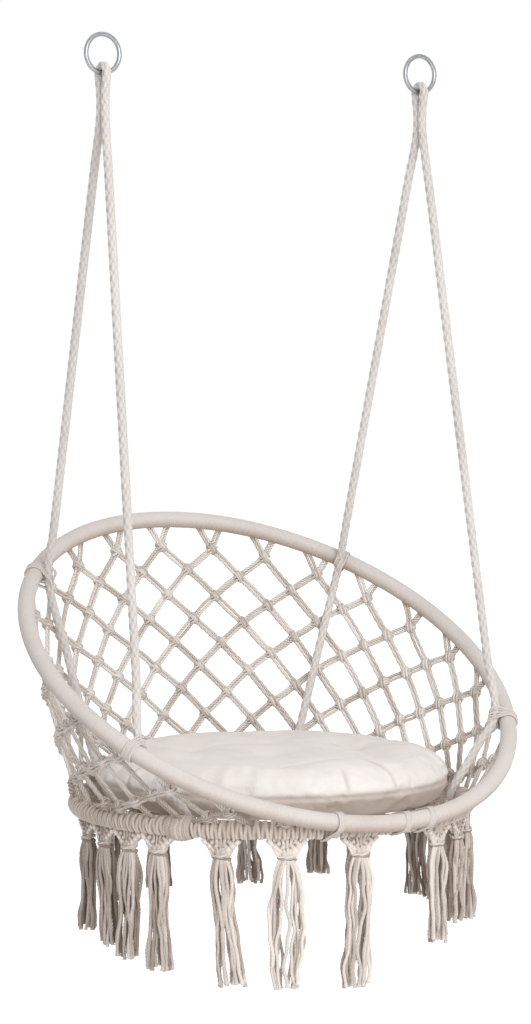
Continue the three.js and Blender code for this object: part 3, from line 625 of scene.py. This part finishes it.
# Lashings: off-white cord is whipped close round each rope leg and the back hoop, and hitched cord
# round each rope's foot and the seat hoop. At the front three short bands bind the two hoops.
lashing_rings = 90
lashing_lay = 0.012
ply_contrast = 0.35
whipping_radius, whipping_lightness = 0.0017, 0.6
whipping_turns, whipping_pitch = 5, 0.0030
foot_cord_radius, foot_lightness = 0.0022, 0.2
foot_turns, foot_whipping = 11, 0.017
foot_play, foot_drawn_in, foot_taper = 0.0005, 0.06, 0.4
band_radius, band_lightness = 0.0014, 0.42
band_angles = [math.radians(angle) for angle in (168, 177, 199)]
band_turns, band_pitch_radii, band_sunk = 4, 1.9, 0.6
band_slant, band_slant_turn = 0.0045, 0.6


def outline_round(circles):
    """The line drawn tight round circles (across, up, radius): in each direction the circle that reaches
    furthest gives the point, and the points are then spaced evenly."""
    turn = full_turn(240)
    heading = np.stack([np.cos(turn), np.sin(turn)], -1)
    centres, radii = np.array(circles)[:, :2], np.array(circles)[:, 2]
    furthest = np.argmax(heading @ centres.T + radii, axis=1)
    line = centres[furthest] + radii[furthest, None] * heading
    line = np.concatenate([line, line[:1]])
    return resampled(line, lambda length: np.arange(lashing_rings) / lashing_rings * length)


def twist(radius, lay, depth=0.1):
    """A three-ply cord's outside: radius (1 + depth cos(3 (a - 2 pi s / lay)))."""
    return lambda s, a: radius * (1 + depth * np.cos(3 * (a - tau * s / lay)))


def looped(loops, relief, sides):
    """Skins of closed loops of cord, whose angle a starts at the side away from each loop's middle."""
    return sweep(loops, unit(loops - loops.mean(1, keepdims=True)), relief, sides, closed=True)


def cord_loops(name, loops, radius, lightness, finish, *nodes):
    """A piece of closed loops of cord, an array (loops, points, 3). The tone is the lightness plus the
    contrast times the skin's own, so that painted shade lies in the plies' grooves."""
    rings, tone = looped(np.array(loops), twist(radius, lashing_lay), sides=8)
    skin_piece(name, [(rings, lightness + ply_contrast * tone, True)], radius, finish, *nodes)


def centred(count, pitch):
    """The places of count turns at a pitch, evenly to both sides of 0."""
    return (np.arange(count) - (count - 1) / 2) * pitch


legs = (("rear", rear_leg, rear_foot, 1), ("front", front_leg, front_foot, -1))
for side, side_name in ((-1, "left"), (1, "right")):
    for where, angle, foot, towards in legs:
        hoop = on_back_hoop(side * angle)
        inward = unit(back_centre - hoop)
        tangent = unit(on_back_hoop(side * angle + 0.01) - on_back_hoop(side * angle - 0.01))
        square = np.cross(tangent, inward)
        crossing = crossing_point(side, angle)
        run = unit(crossing - fork_of(side, towards))
        loops = []
        for offset in centred(whipping_turns, whipping_pitch):
            drift = np.clip(offset * np.dot(run, square) / np.dot(run, tangent), -rope_radius, rope_radius)
            shape = outline_round([
                (0.0, 0.0, back_wrap_radius + whipping_radius),
                (back_reach + rope_radius, drift, rope_radius + whipping_radius),
            ])
            loops.append(hoop + offset * tangent + shape[:, :1] * inward + shape[:, 1:] * square)
        name = f"{where}_{side_name}_lashing"
        cord_loops(name + "_cord", loops, whipping_radius, whipping_lightness, hoop_finish, name)

        seat = on_seat_hoop(side * foot)
        inward = unit(seat_centre - seat)
        tangent = np.cross(inward, upward)
        arc = foot_points(side, foot, crossing)[2:] - seat
        arc = np.stack([arc @ inward, arc[:, 2]], -1)
        loops = []
        for offset in np.linspace(-1, 1, foot_turns):
            bulge = math.sqrt(max(1 - offset ** 2, 0.0)) * rope_radius * (foot_squeeze + foot_drawn_in)
            closer = 1 - foot_taper + foot_taper * math.sqrt(1.001 - offset ** 2)
            circles = [(*(point * closer), bulge + foot_play) for point in arc]
            shape = outline_round([(0.0, 0.0, seat_wrap_radius + foot_play), *circles])
            place = seat + offset * foot_whipping * tangent
            loops.append(place + shape[:, :1] * inward + shape[:, 1:] * upward)
        name = f"{where}_{side_name}_foot_whipping"
        cord_loops(name, loops, foot_cord_radius, foot_lightness, seat_finish)

for number, angle in enumerate(band_angles):
    middle = on_seat_hoop(angle)
    seat_slant = 1 / abs(math.cos(angle))
    back = on_back_hoop(math.pi - math.asin(middle[0] / back_hoop_radius))
    shape = outline_round([
        (back[1], back[2], back_wrap_radius * seat_slant + band_radius * band_sunk),
        (middle[1], middle[2], seat_wrap_radius * seat_slant + band_radius * band_sunk),
    ])
    lay = band_slant * np.sin(full_turn(lashing_rings) + band_slant_turn)
    places = centred(band_turns, band_pitch_radii) * band_radius
    loops = [np.column_stack([middle[0] + place + lay, shape]) for place in places]
    name = f"front_lashing_{number + 1}"
    cord_loops(name + "_cord", loops, band_radius, band_lightness, hoop_finish, name)


# Net: the back and sides are tied knot by knot from doubled natural cotton cord between the hoops.
# Rows of knots follow the back hoop, and at every knot two cord pairs cross and are hitched together.
net_columns = 26
most_rows = 20
row_pitch = 0.039
first_row_drop = 0.043
top_spread = 0.45
net_lean = math.radians(9)
knot_seat = 0.009
row_cut_off = 0.009
panel_shares = (0.15, 0.38, 0.65, 1.0)
panel_names = ("back", "rear", "side", "front")
column_angle = tau / net_columns
net_cord_radius = 0.0026
pair_gap = 0.0024
knot_flare = 0.0009
strand_bow = 0.0013
cord_bow = 0.0008
cord_gap_least, cord_gap_most = -0.0002, 0.0010
strand_rings = 20
cord_lay = 0.015
loop_steps, loop_lay = 14, 0.012
loop_across = 0.0084
loop_rise = (0.0054, 0.0070)
loop_offset = 0.0025
foot_sink = 0.004
knot_jitter = 0.0016
# Painted shade: near the hoop where a strand is tied, and low down near the seat hoop.
tied_painted_shade, tied_from = 0.9, 0.7
low_painted_shade, low_height = 0.45, 0.075


def net_foot(column):
    """Where a column's line reaches the seat hoop: the same angle plus a lean that fades to the front."""
    angle = np.asarray(column) * column_angle
    return on_seat_hoop(angle + net_lean * np.cos(angle / 2) ** 2)


def net_point(column, drop):
    """A point of the net: drop metres down the straight line from the back hoop to the column's foot."""
    top = on_back_hoop(np.asarray(column) * column_angle)
    return top + unit(net_foot(column) - top) * np.asarray(drop)[..., None]


def net_normal(column, drop):
    """The net's outward direction: down the net crossed with along the row."""
    along = net_point(column + 0.25, drop) - net_point(column - 0.25, drop)
    down = net_point(column, drop + row_pitch) - net_point(column, drop)
    return unit(np.cross(down, along))


def hoop_distance(points):
    """How far points lie from the nearer winding: the distance to its hoop's line, less its radius."""
    local = points - back_centre
    c, n = math.cos(back_hoop_tilt), math.sin(back_hoop_tilt)
    plane, height = local[..., 1] * c + local[..., 2] * n, local[..., 2] * c - local[..., 1] * n
    back = np.hypot(np.hypot(local[..., 0], plane) - back_hoop_radius, height) - back_wrap_radius
    local = points - seat_centre
    from_line = np.hypot(local[..., 0], local[..., 1]) - seat_hoop_radius
    return np.minimum(back, np.hypot(from_line, local[..., 2]) - seat_wrap_radius)


def tied_ends(starts, targets):
    """The ends of strands that run from knots to a hoop: where they have sunk into its winding."""
    share = np.linspace(0, 1, 120)
    line = starts[:, None] + (targets - starts)[:, None] * share[None, :, None]
    inside = hoop_distance(line) < -foot_sink
    first = np.where(inside.any(1), inside.argmax(1), len(share) - 1)
    return line[np.arange(len(starts)), first]


def with_painted_low_shade(rings, tone):
    """The tone less a painted shade that grows as the net nears the seat hoop: 1 - height / low_height."""
    height = rings[..., 2] - seat_centre[2]
    return rings, tone - low_painted_shade * np.clip(1 - height / low_height, 0, 1)


def doubled_strands(starts, ends, normals, tied):
    """The two cords of each strand: side by side across the net, wider apart at the knots, slightly bowed.
    The last part of a strand that is tied to a hoop gets a painted shade, darker the nearer it is."""
    share = np.linspace(0, 1, strand_rings)[None, :, None]
    across = unit(np.cross(normals, unit(ends - starts)))[:, None]
    swell = np.sin(np.pi * share)
    flare = knot_flare * (2 * share - 1) ** 4
    lean = net_random.uniform(-strand_bow, strand_bow, (len(starts), 1, 1))
    bow = net_random.uniform(-cord_bow, cord_bow, (len(starts), 2, 1, 1))
    wave = net_random.uniform(cord_gap_least, cord_gap_most, (len(starts), 2, 1, 1))
    middle = starts[:, None] + (ends - starts)[:, None] * share
    paths = np.concatenate([
        middle + across * (sign * (pair_gap + flare + wave[:, k] * swell) + lean * swell)
        + normals[:, None] * bow[:, k] * swell
        for k, sign in enumerate((-1, 1))
    ])
    facing = np.concatenate([normals, normals])[:, None]
    rings, tone = sweep(paths, facing, twist(net_cord_radius, cord_lay), sides=8)
    near = np.clip((share - tied_from) / (1 - tied_from), 0, 1) * np.tile(tied, 2)[:, None, None]
    return with_painted_low_shade(rings, tone - tied_painted_shade * near)


def knot_loops(places, normals, first, second):
    """Each knot's hitches: two loops lie round one cord pair and two, higher, round the other. A loop is
    centre + across cos t + rise sin t, flat ovals square to the pair that they hold."""
    turn = full_turn(loop_steps)[None, :, None]
    loops = np.concatenate([
        (places + sign * loop_offset * held)[:, None]
        + loop_across * np.cos(turn) * crossing[:, None]
        + rise * np.sin(turn) * normals[:, None]
        for held, crossing, rise in ((first, second, loop_rise[0]), (second, first, loop_rise[1]))
        for sign in (-1, 1)
    ])
    return with_painted_low_shade(*looped(loops, twist(net_cord_radius, loop_lay, 0.08), sides=6))


def tie_net(node, strands, knots):
    """One panel of net, from its strands' starts, targets, normals and whether they are tied to a hoop, and
    from its knots' places, normals and the directions of their two cord pairs."""
    starts, targets, normals, is_tied = strands
    ends = np.where(is_tied[:, None], tied_ends(starts, targets), targets)
    skins = [(*doubled_strands(starts, ends, normals, is_tied), False), (*knot_loops(*knots), True)]
    skin_piece("knotted_" + node, skins, net_cord_radius, (net_cord, "net_cotton"), node)


def panel_of(column):
    """The number of the panel that a column belongs to."""
    return next(i for i, share in enumerate(panel_shares) if abs(column) < share * net_columns / 2)


# Natural cotton cord, three-ply: beige and matt, with painted shade in the grooves, where a strand is tied
# to a hoop, and low down near the seat hoop.
net_cord = cotton("natural_three_ply_cotton_cord", "#a79787", "#f0ebe7", 0.015, 0.016, 0.12)
net_random = np.random.default_rng(5)
net_knots = {}
for row in range(most_rows):
    for step in range(net_columns):
        column = step - net_columns / 2 + (row % 2) / 2
        room = np.linalg.norm(on_back_hoop(column * column_angle) - net_foot(column)) - seat_reach
        drop = first_row_drop + row * row_pitch
        if drop <= room + row_cut_off and abs(column) < net_columns / 2:
            net_knots[row, column] = min(drop, room - knot_seat)
knot_places = {
    key: net_point(key[1], drop) + net_random.uniform(-knot_jitter, knot_jitter, 3)
    for key, drop in net_knots.items()
}
knots_of, strands_of = {}, {}
for (row, column), drop in net_knots.items():
    panel = panel_of(column)
    side = "" if panel == 0 else "_left" if column < 0 else "_right"
    name = "net_" + panel_names[panel] + side
    place = knot_places[row, column]
    knots_of.setdefault(name, []).append((column, drop, place))
    for down in (-1, 1):
        for step in (-0.5, 0.5):
            other = (row + down, column + step)
            tied = other not in net_knots
            if tied:
                spread = step * top_spread if down < 0 else step
                target = net_point(column + spread, drop + down * row_pitch)
            else:
                target = knot_places[other]
            if tied or (panel_of(other[1]), down) > (panel, 0):
                strands_of.setdefault(name, []).append((column, drop, place, target, tied))

for name, strands in strands_of.items():
    columns, drops, places = (np.array(values) for values in zip(*knots_of[name]))
    row_wise = unit(net_point(columns + 0.5, drops) - net_point(columns - 0.5, drops))
    normals = net_normal(columns, drops)
    down_wise = unit(np.cross(row_wise, normals))
    knots = places, normals, unit(row_wise + down_wise), unit(row_wise - down_wise)
    columns, drops, starts, targets, is_tied = (np.array(values) for values in zip(*strands))
    tie_net(name, (starts, targets, net_normal(columns, drops), is_tied), knots)


# Seat net: below the cushion the same doubled cord is knotted in a plain diagonal grid across the
# seat hoop and pulled taut.
seat_pitch = 0.041
seat_room = seat_hoop_radius - seat_reach
cells = math.ceil(seat_hoop_radius / seat_pitch)
grid = {}
for i in range(-cells, cells + 1):
    for j in range(-cells, cells + 1):
        offset = np.array([i, j, 0.0]) * seat_pitch
        distance = np.linalg.norm(offset)
        if (i + j) % 2 == 0 and distance <= seat_room + row_cut_off:
            grid[i, j] = offset * min(1.0, (seat_room - knot_seat) / max(distance, seat_pitch)) + seat_centre
ties = []
for (i, j), place in grid.items():
    for di, dj in ((-1, -1), (-1, 1), (1, -1), (1, 1)):
        other = grid.get((i + di, j + dj))
        if other is None:
            ties.append((place, place + np.array([di, dj, 0.0]) * seat_pitch, -upward, True))
        elif di > 0:
            ties.append((place, other, -upward, False))
places = np.array(list(grid.values()))
ones = np.ones((len(places), 1))
diagonals = [unit(np.array([1.0, sign, 0.0])) * ones for sign in (1, -1)]
tie_net("seat_net", [np.array(values) for values in zip(*ties)], (places, -upward * ones, *diagonals))


# Tassels: below the seat hoop eighteen bunches of natural cord hang from its half hitches. Each is
# drawn together in a knotted triangle, bound at the neck, and its loose ends are trimmed level.
tassel_width = 0.056
tassel_drop = 0.236
# Each tassel's place as a share of the turn from the middle of the back, its length as a share of the drop,
# how far it hangs open, how far its hem leans to the side, and how much its tone is moved: a painted light
# and shade, mostly darker, most for the tassels that hang in shade.
tassels = (
    (0.074, 0.75, 0.2, 0.004, -0.22), (0.138, 0.68, 0.1, -0.006, -0.24), (0.174, 0.74, 0.3, 0.0, -0.10),
    (0.236, 0.75, 0.3, 0.005, -0.28), (0.268, 0.76, 0.2, -0.004, -0.25), (0.301, 0.76, 0.4, 0.006, -0.30),
    (0.361, 0.75, 0.3, -0.014, -0.20), (0.4015, 0.7, 0.3, 0.010, -0.22), (0.441, 0.79, 0.2, -0.004, 0.0),
    (0.524, 0.99, 0.45, 0.004, -0.03), (0.5825, 0.98, 1, 0.002, 0.05), (0.6335, 0.97, 0.1, -0.016, -0.10),
    (0.6875, 0.9, 0, -0.002, -0.14), (0.718, 0.86, 0.3, 0.004, -0.18), (0.749, 0.8, 0.2, -0.016, -0.28),
    (0.7805, 0.75, 0.1, 0.006, -0.45), (0.9305, 0.78, 0.3, 0.004, -0.40), (0.992, 0.73, 0.2, -0.004, -0.32),
)
fringe_radius, fringe_cords = 0.0025, 17
fringe_lightness, fringe_contrast, fringe_spread = 0.42, 0.3, 0.34
fan_rings, fan_pace = 18, 1.1
fan_sunk, fan_half_depth = 0.003, 0.0026
neck_drop = 0.042
neck_half_width, neck_half_depth = 0.0105, 0.0060
hang_rings = 64
skirt_half_width, skirt_half_depth = 0.0195, 0.0120
skirt_pace = 9
slim_share = 0.38
bow_share, gather_share = 0.12, 0.3
turn_drift = 0.6
side_waves = ((0.0046, 0.8), (0.0027, 2.0), (0.0014, 4.2))
depth_waves = ((0.0030, 1.0), (0.0016, 2.6))
wave_least, wave_open = 0.75, 0.35
longest, shortest = 0.001, -0.007
ply_lay, ply_depth = 0.016, 0.13
fray_from, fray_share = 0.97, 0.3
knot_shade = 0.8
bind_steps, bind_radius, bind_lay, bind_depth = 28, 0.0024, 0.010, 0.16
bind_wider, bind_deeper, bind_above = 0.0022, 0.0026, 0.003
bind_places, bind_tilts = np.array([[-0.0020], [0.0024]]), np.array([[0.0020], [-0.0016]])
# Rows of hitches in the triangle: how far each reaches, as a share, and its place in depth.
hitch_rows = ((1.0, 0.0036), (0.62, 0.0042), (1.0, -0.0036), (0.62, -0.0042))
hitch_row_steps, hitch_row_radius, hitch_row_step = 44, 0.0031, 0.0085
hitch_row_above, hitch_row_sag, hitch_row_pace = 0.006, 0.9, 0.85


def place_tassel(angle, x, y, z):
    """Local x, y, z of a tassel to the chair: hoop point + x tangent + y outward - z up."""
    hoop = on_seat_hoop(angle)
    outward = unit(hoop - seat_centre)
    tangent = np.array([math.cos(angle), -math.sin(angle), 0.0])
    return hoop + x[..., None] * tangent + y[..., None] * outward - z[..., None] * upward


def waves(hang, amounts):
    """A sum of sines of hang, each with a seeded random amount and phase for every cord, 0 at the neck."""
    total = 0
    for amount, pace in amounts:
        size = fringe_random.uniform(-amount, amount, (fringe_cords, 1))
        phase = fringe_random.uniform(0, 1, (fringe_cords, 1))
        total = total + size * np.sin(tau * (hang * pace + phase))
    return total * np.clip(hang * 4, 0, 1)


def tassel_paths(angle, length, openness, lean):
    """Cord lines of one tassel. A cord runs from its hitch on the hoop to the neck, half of them across to
    the other side. Below the neck it lies at a turn t of an oval that swells, slims half way and flares at
    the hem. In an open tassel the cords bow out at both sides and draw together at the hem instead. Waves
    and the tassel's lean are added."""
    order = np.arange(fringe_cords)
    layer = np.where(order % 2 == 0, 1.0, -1.0)[:, None]
    share = ((order + 0.5) / fringe_cords * 2 - 1)[:, None]
    fan = np.linspace(0, 1, fan_rings)[None, :] ** fan_pace
    neck_x = share * layer * neck_half_width
    neck_y = layer * neck_half_depth * np.sqrt(1 - share ** 2)
    fan_x = share * tassel_width / 2 * (1 - fan) + neck_x * fan
    fan_y = layer * fan_half_depth * (1 - fan) + neck_y * fan
    fan_z = seat_wrap_radius - fan_sunk + (neck_drop - seat_wrap_radius + fan_sunk) * fan
    fan_z = np.broadcast_to(fan_z, fan_x.shape)
    hang = np.linspace(0, 1, hang_rings + 1)[None, 1:]
    turn = np.arctan2(neck_y, neck_x)
    apart = fringe_random.uniform(0.65, 1.15, (fringe_cords, 1))
    outermost = np.sign(neck_x) * np.abs(np.cos(turn)) ** 0.25
    turn = turn + fringe_random.uniform(-turn_drift, turn_drift, (fringe_cords, 1)) * hang
    slim = 1 - slim_share * (1 - openness) * np.sin(np.pi * np.clip(hang * 1.25 - 0.15, 0, 1)) ** 2
    bowed = 1 + openness * (bow_share * np.sin(np.pi * hang) - gather_share * hang ** 4)
    opened = 1 - np.exp(-hang * skirt_pace)
    grown = apart * opened * slim * bowed
    sides = (1 - openness) * np.cos(turn) + openness * outermost
    out_x = neck_x + (skirt_half_width * sides * grown - neck_x * opened)
    out_y = neck_y + (skirt_half_depth * np.sin(turn) * grown - neck_y * opened)
    wavy = wave_least + wave_open * openness
    out_x = out_x + lean * hang ** 1.4 + wavy * waves(hang, side_waves)
    out_y = out_y + wavy * waves(hang, depth_waves)
    lengths = length - neck_drop + fringe_random.uniform(shortest, longest, (fringe_cords, 1))
    parts = ((fan_x, out_x), (fan_y, out_y), (fan_z, neck_drop + lengths * hang))
    return place_tassel(angle, *(np.concatenate(part, 1) for part in parts))


def fringe_relief(s, a):
    """Three plies of a radius that differs from cord to cord, frayed wider over the last few millimetres."""
    thickness = fringe_radius * fringe_random.uniform(0.8, 1.2, (fringe_cords, 1, 1))
    frayed = 1 + fray_share * np.clip((s / s[:, -1:] - fray_from) / (1 - fray_from), 0, 1)
    return thickness * frayed * (1 + ply_depth * np.cos(3 * (a - tau * s / ply_lay)))


def hitched(s, a):
    """A row of half hitches: the radius swells and slims by the sine of s, half a wave per hitch."""
    return hitch_row_radius * (0.86 + 0.24 * np.abs(np.sin(np.pi * s / hitch_row_step)))


# Natural cotton cord, loosely laid: beige and matt, with painted light on the crests and painted shade where
# the cords part.
fringe_cord = cotton("natural_loose_cotton_cord", "#8d7c6f", "#eae1d9", 0.015, 0.016, 0.12, groove=0.65)
fringe_finish = fringe_cord, "tassel_cotton"
fringe_random = np.random.default_rng(23)
bind_turn = full_turn(bind_steps)
across = np.linspace(-1, 1, hitch_row_steps)
row_room = neck_drop - hitch_row_above - seat_wrap_radius
for k, (place, length, openness, lean, painted_light_and_shade) in enumerate(tassels):
    angle = place * tau
    outward = unit(on_seat_hoop(angle) - seat_centre)
    rings, tone = sweep(tassel_paths(angle, tassel_drop * length, openness, lean), outward, fringe_relief, 9)
    # Painted shade and light: the cords' tone follows the plies' grooves and crests, moved by the tassel's
    # own painted shade.
    skins = [(rings, fringe_lightness + fringe_contrast * tone + painted_light_and_shade, False)]
    bind = place_tassel(
        angle,
        (neck_half_width + bind_wider) * np.cos(bind_turn),
        (neck_half_depth + bind_deeper) * np.sin(bind_turn),
        neck_drop - bind_above + bind_places + bind_tilts * np.sin(bind_turn + 0.9),
    )
    rows = np.array([
        place_tassel(
            angle,
            across * width * tassel_width / 2,
            np.full_like(across, depth),
            seat_wrap_radius
            + row_room * (1 - (1 - width) * hitch_row_sag) * (1 - np.abs(across)) ** hitch_row_pace,
        )
        for width, depth in hitch_rows
    ])
    bindings = looped(bind, twist(bind_radius, bind_lay, bind_depth), sides=8)
    hitches = sweep(rows, outward, hitched, sides=8)
    # Painted shade: the knot shade makes the binding and the hitch rows darker.
    for (rings, tone), closed in ((bindings, True), (hitches, False)):
        skins.append((rings, tone * knot_shade + painted_light_and_shade / 2, closed))
    name = f"tassel_{k + 1:02d}"
    skin_piece(name + "_cords", skins, fringe_radius, fringe_finish, name, spread=fringe_spread)


# Cushion: a round cushion of off-white cotton over fibre filling, drawn in by seven sewn tufts. It
# lies loose on the seat net, and the rear ropes press a dent into its edge.
cushion_radius = 0.282
cushion_thickness = 0.080
cushion_edge = 0.046
cushion_forward = 0.004
side_bulge = 0.016
tuft_circle = 0.150
tuft_depth = 0.014
tuft_radius = 0.032
rope_dent_depth = 0.009
rope_dent_angle = math.radians(9)
net_top = seat_centre[2] + 0.0065 + play
cushion_steps = 150
cushion_centre = np.array([seat_centre[0], seat_centre[1] - cushion_forward, net_top])
rim_radius = cushion_radius - side_bulge
edge_height = (cushion_thickness - cushion_edge) / 2
slack_radius, slack_height = 0.985, 0.88
cushion_voxel = 0.006
filling_pressure = 4.0
cloth_frames = 20
puff_limit = 0.018
tuft_hold, rest_hold = 0.007, 0.004
tuft_turn = (np.arange(6) + 0.5) / 6 * tau
tuft_ring = tuft_circle * np.stack([np.sin(tuft_turn), np.cos(tuft_turn)], -1)
tuft_places = np.concatenate([[[0.0, 0.0]], tuft_ring])
crease_depth, crease_width = 0.0032, 0.0030
crease_wander, crease_wave = 0.005, 0.021
crease_fade, crease_end = 0.03, 0.012
crease_shade = 0.5
# Creases: degrees from the middle of the back, then the radius and the heights between which each shows.
creases_drawn = (
    (36, 0.215, 0.03, 0.1), (84, 0.2, 0.036, 0.1), (172, 0.185, 0.03, 0.1), (189, 0.222, 0.034, 0.1),
    (195, 0.2, -0.01, 0.036), (266, 0.22, 0.03, 0.1), (327, 0.21, 0.03, 0.1), (222, 0.2, -0.01, 0.04),
)
tuft_pit, upper_side = 0.012, 0.03
# Painted shade on the edge band: the tone darkens from band_to down to band_from, by this share.
band_from, band_to, band_painted_shade = 0.024, 0.044, 0.72
seam_height, seam_width, seam_depth, seam_shade = 0.034, 0.0032, 0.0028, 0.25
# One wave in 1.6 mm.
thread_scale = 99.471607


def rim_at(angle):
    """The rim's radius, less a bell at each rear rope, which presses the edge in."""
    signed = (angle + np.pi) % tau - np.pi
    return rim_radius - rope_dent_depth * bell(np.abs(signed) - rear_foot, rope_dent_angle)


def from_tufts(x, y):
    """How far points lie from each of the seven tufts, one row for each tuft."""
    return np.hypot(x - tuft_places[:, :1], y - tuft_places[:, 1:])


def top_height(x, y, radius):
    """The crown: edge height + crown (1 - (radius / rim)^4), less a bell at each tuft."""
    height = edge_height + cushion_edge + edge_height * (1 - (radius / rim_radius) ** 4)
    for away in from_tufts(x, y):
        height = height - tuft_depth * bell(away, tuft_radius)
    return height


def cushion_rings():
    """Rings of the slack cover from the middle of the top, over the side, to the middle of the bottom."""
    angles = full_turn(cushion_steps)
    rim = rim_at(angles)
    profile = []
    for share in np.linspace(0.02, 1, 46):
        radius = share * rim
        profile.append((radius, top_height(radius * np.sin(angles), radius * np.cos(angles), radius)))
    for share in np.linspace(0.08, 0.92, 12):
        radius = rim + side_bulge * np.sin(np.pi * share) ** 0.7
        profile.append((radius, edge_height + cushion_edge * (1 - share)))
    for share in np.linspace(0, 1, 6):
        profile.append((rim * (1 - 0.07 * share), edge_height * (1 - share) ** 2))
    for share in np.linspace(0.88, 0.02, 32):
        profile.append((rim_radius * share, 0.0))
    return np.array([
        np.stack([radius * np.sin(angles), radius * np.cos(angles), height + 0 * angles], -1)
        for radius, height in profile
    ])


def places_of(mesh):
    """The vertices of a mesh as an array."""
    places = np.empty(len(mesh.vertices) * 3, np.float32)
    mesh.vertices.foreach_get("co", places)
    return places.reshape(-1, 3)


def evaluated(piece):
    """A new mesh of the piece as its modifiers leave it. The piece itself is removed."""
    mesh = bpy.data.meshes.new_from_object(piece.evaluated_get(bpy.context.evaluated_depsgraph_get()))
    bpy.data.objects.remove(piece)
    return mesh


def subdivided(mesh):
    """The mesh after one round of subdivision."""
    piece = put_in_scene("coarse_cover", mesh)
    piece.modifiers.new("fine_cover", "SUBSURF").levels = 1
    return evaluated(piece)


def filled(mesh):
    """The cover swollen by its filling: remeshed, then a cloth under pressure that is held at the tufts and
    where it rests, for a fixed number of frames. Each vertex moves no further than the limit."""
    cover = put_in_scene("cover", mesh)
    remesh = cover.modifiers.new("remesh", "REMESH")
    remesh.mode, remesh.voxel_size = "VOXEL", cushion_voxel
    fine = evaluated(cover)
    start = places_of(fine) - cushion_centre
    held = (from_tufts(start[:, 0], start[:, 1]).min(0) < tuft_hold) | (start[:, 2] < rest_hold)
    cloth_piece = put_in_scene("cloth_piece", fine)
    group = cloth_piece.vertex_groups.new(name="held")
    group.add(np.nonzero(held)[0].tolist(), 1.0, "REPLACE")
    cloth = cloth_piece.modifiers.new("filling", "CLOTH")
    for setting, value in {
        "vertex_group_mass": "held", "use_pressure": True, "uniform_pressure_force": filling_pressure,
        "tension_stiffness": 12, "compression_stiffness": 12, "bending_stiffness": 0.3,
    }.items():
        setattr(cloth.settings, setting, value)
    cloth.settings.effector_weights.gravity = 0
    cloth.collision_settings.use_collision = False
    for frame_number in range(1, cloth_frames + 1):
        scene.frame_set(frame_number)
    swollen = evaluated(cloth_piece)
    moved = places_of(swollen) - cushion_centre - start
    distance = np.linalg.norm(moved, axis=1, keepdims=True)
    moved *= np.minimum(1, puff_limit / np.maximum(distance, 1e-9))
    set_places(swollen, start + moved + cushion_centre)
    scene.frame_set(1)
    return subdivided(swollen)


def creased(mesh):
    """Draws the sewn-in creases and the seam. Along each line from a tuft over the rim the cover sinks by a
    bell of the distance across the line, fading at its ends, and round the seam by a bell of the height.
    The attribute tone, a painted shade, falls with both and in the tufts' pits, and from the upper side to
    the edge band below it."""
    places = places_of(mesh).astype(float)
    x, y, height = (places - cushion_centre).T
    radius, angle = np.hypot(x, y), np.arctan2(x, y)
    sink = 0 * x
    for degrees, crease_start, lowest, highest in creases_drawn:
        turn = math.radians(degrees)
        away = ((angle - turn + np.pi) % tau - np.pi) * radius
        away = away + crease_wander * np.sin(radius / crease_wave + turn * 5)
        fade = np.clip((radius - crease_start) / crease_fade, 0, 1)
        for room in (height - lowest, highest - height):
            fade = fade * np.clip(room / crease_end, 0, 1)
        sink = np.maximum(sink, bell(away, crease_width) * fade * (np.cos(angle - turn) > 0))
    for away in from_tufts(x, y):
        sink = np.maximum(sink, bell(away, tuft_pit) * (height > upper_side))
    painted_band_shade_factor = np.clip((height - band_from) / (band_to - band_from), 0, 1)
    painted_band_shade_factor = 1 - band_painted_shade * (1 - painted_band_shade_factor ** 2 * (3 - 2 * painted_band_shade_factor))
    heading = unit(np.stack([0.5 * x / rim_radius, 0.5 * y / rim_radius, np.ones(len(x))], -1))
    places -= heading * (sink * crease_depth)[:, None]
    seam = bell(height - seam_height, seam_width) * (radius > rim_radius * 0.93)
    places[:, :2] -= unit(np.stack([x, y], -1)) * (seam * seam_depth)[:, None]
    set_places(mesh, places)
    set_tone(mesh, (1 - crease_shade * sink) * painted_band_shade_factor - seam_shade * seam)
    mesh.shade_smooth()
    return mesh


# Woven cotton over filling, off-white: matt, with a fine plain weave and a soft nap. Its threads are 0.6 mm
# apart, drawn 1.6 mm apart so that they show. The creases, the seam, the tufts' pits and the edge band below
# the side get a beige painted shade.
ticking, tree = new_material("offwhite_woven_cotton")
inputs = {
    "Vector": object_place(tree), "Scale": thread_scale, "Distortion": 0.6, "Detail": 1.0,
}
weave = [
    add_node(tree, "TexWave", {"bands_direction": axis, "wave_profile": "SIN"}, inputs)["Fac"]
    for axis in ("X", "Y")
]
threads = add_node(tree, "Math", {"operation": "ADD"}, dict(enumerate(weave)))[0]
nap = ramp(tree, noise(tree, object_place(tree), 14.0, 5.0), "#dfd8d3", "#e9e4e0", 0.3, 0.7)
tone = add_node(tree, "Attribute", {"attribute_name": "tone"})["Fac"]
# Painted shade: where the tone falls, the colour runs to beige.
colour = add_node(tree, "Mix", {"data_type": "RGBA"}, {0: tone, 6: linear("#bbaa9d"), 7: nap})[2]
finish_surface(tree, {
    "Base Color": colour, "Roughness": 0.9, "Normal": bump(tree, threads, 0.25, 0.0004),
    "Sheen Weight": 0.2, "Sheen Roughness": 0.45, "Specular IOR Level": 0.25,
})

slack = cushion_rings() * np.array([slack_radius, slack_radius, slack_height]) + cushion_centre
slack_skin = slack[None], np.ones((1, *slack.shape[:2])), False
cover_mesh = creased(filled(skin_mesh("slack_cover", [slack_skin], cushion_radius)))
cover_mesh.name = "tufted_cushion"
cushion = dress("tufted_cushion", cover_mesh, (ticking, "cushion_cotton"), "cushion", "cushion")


size = {"cad_box": cad_box, "visual_box": [list(corner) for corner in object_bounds()]}
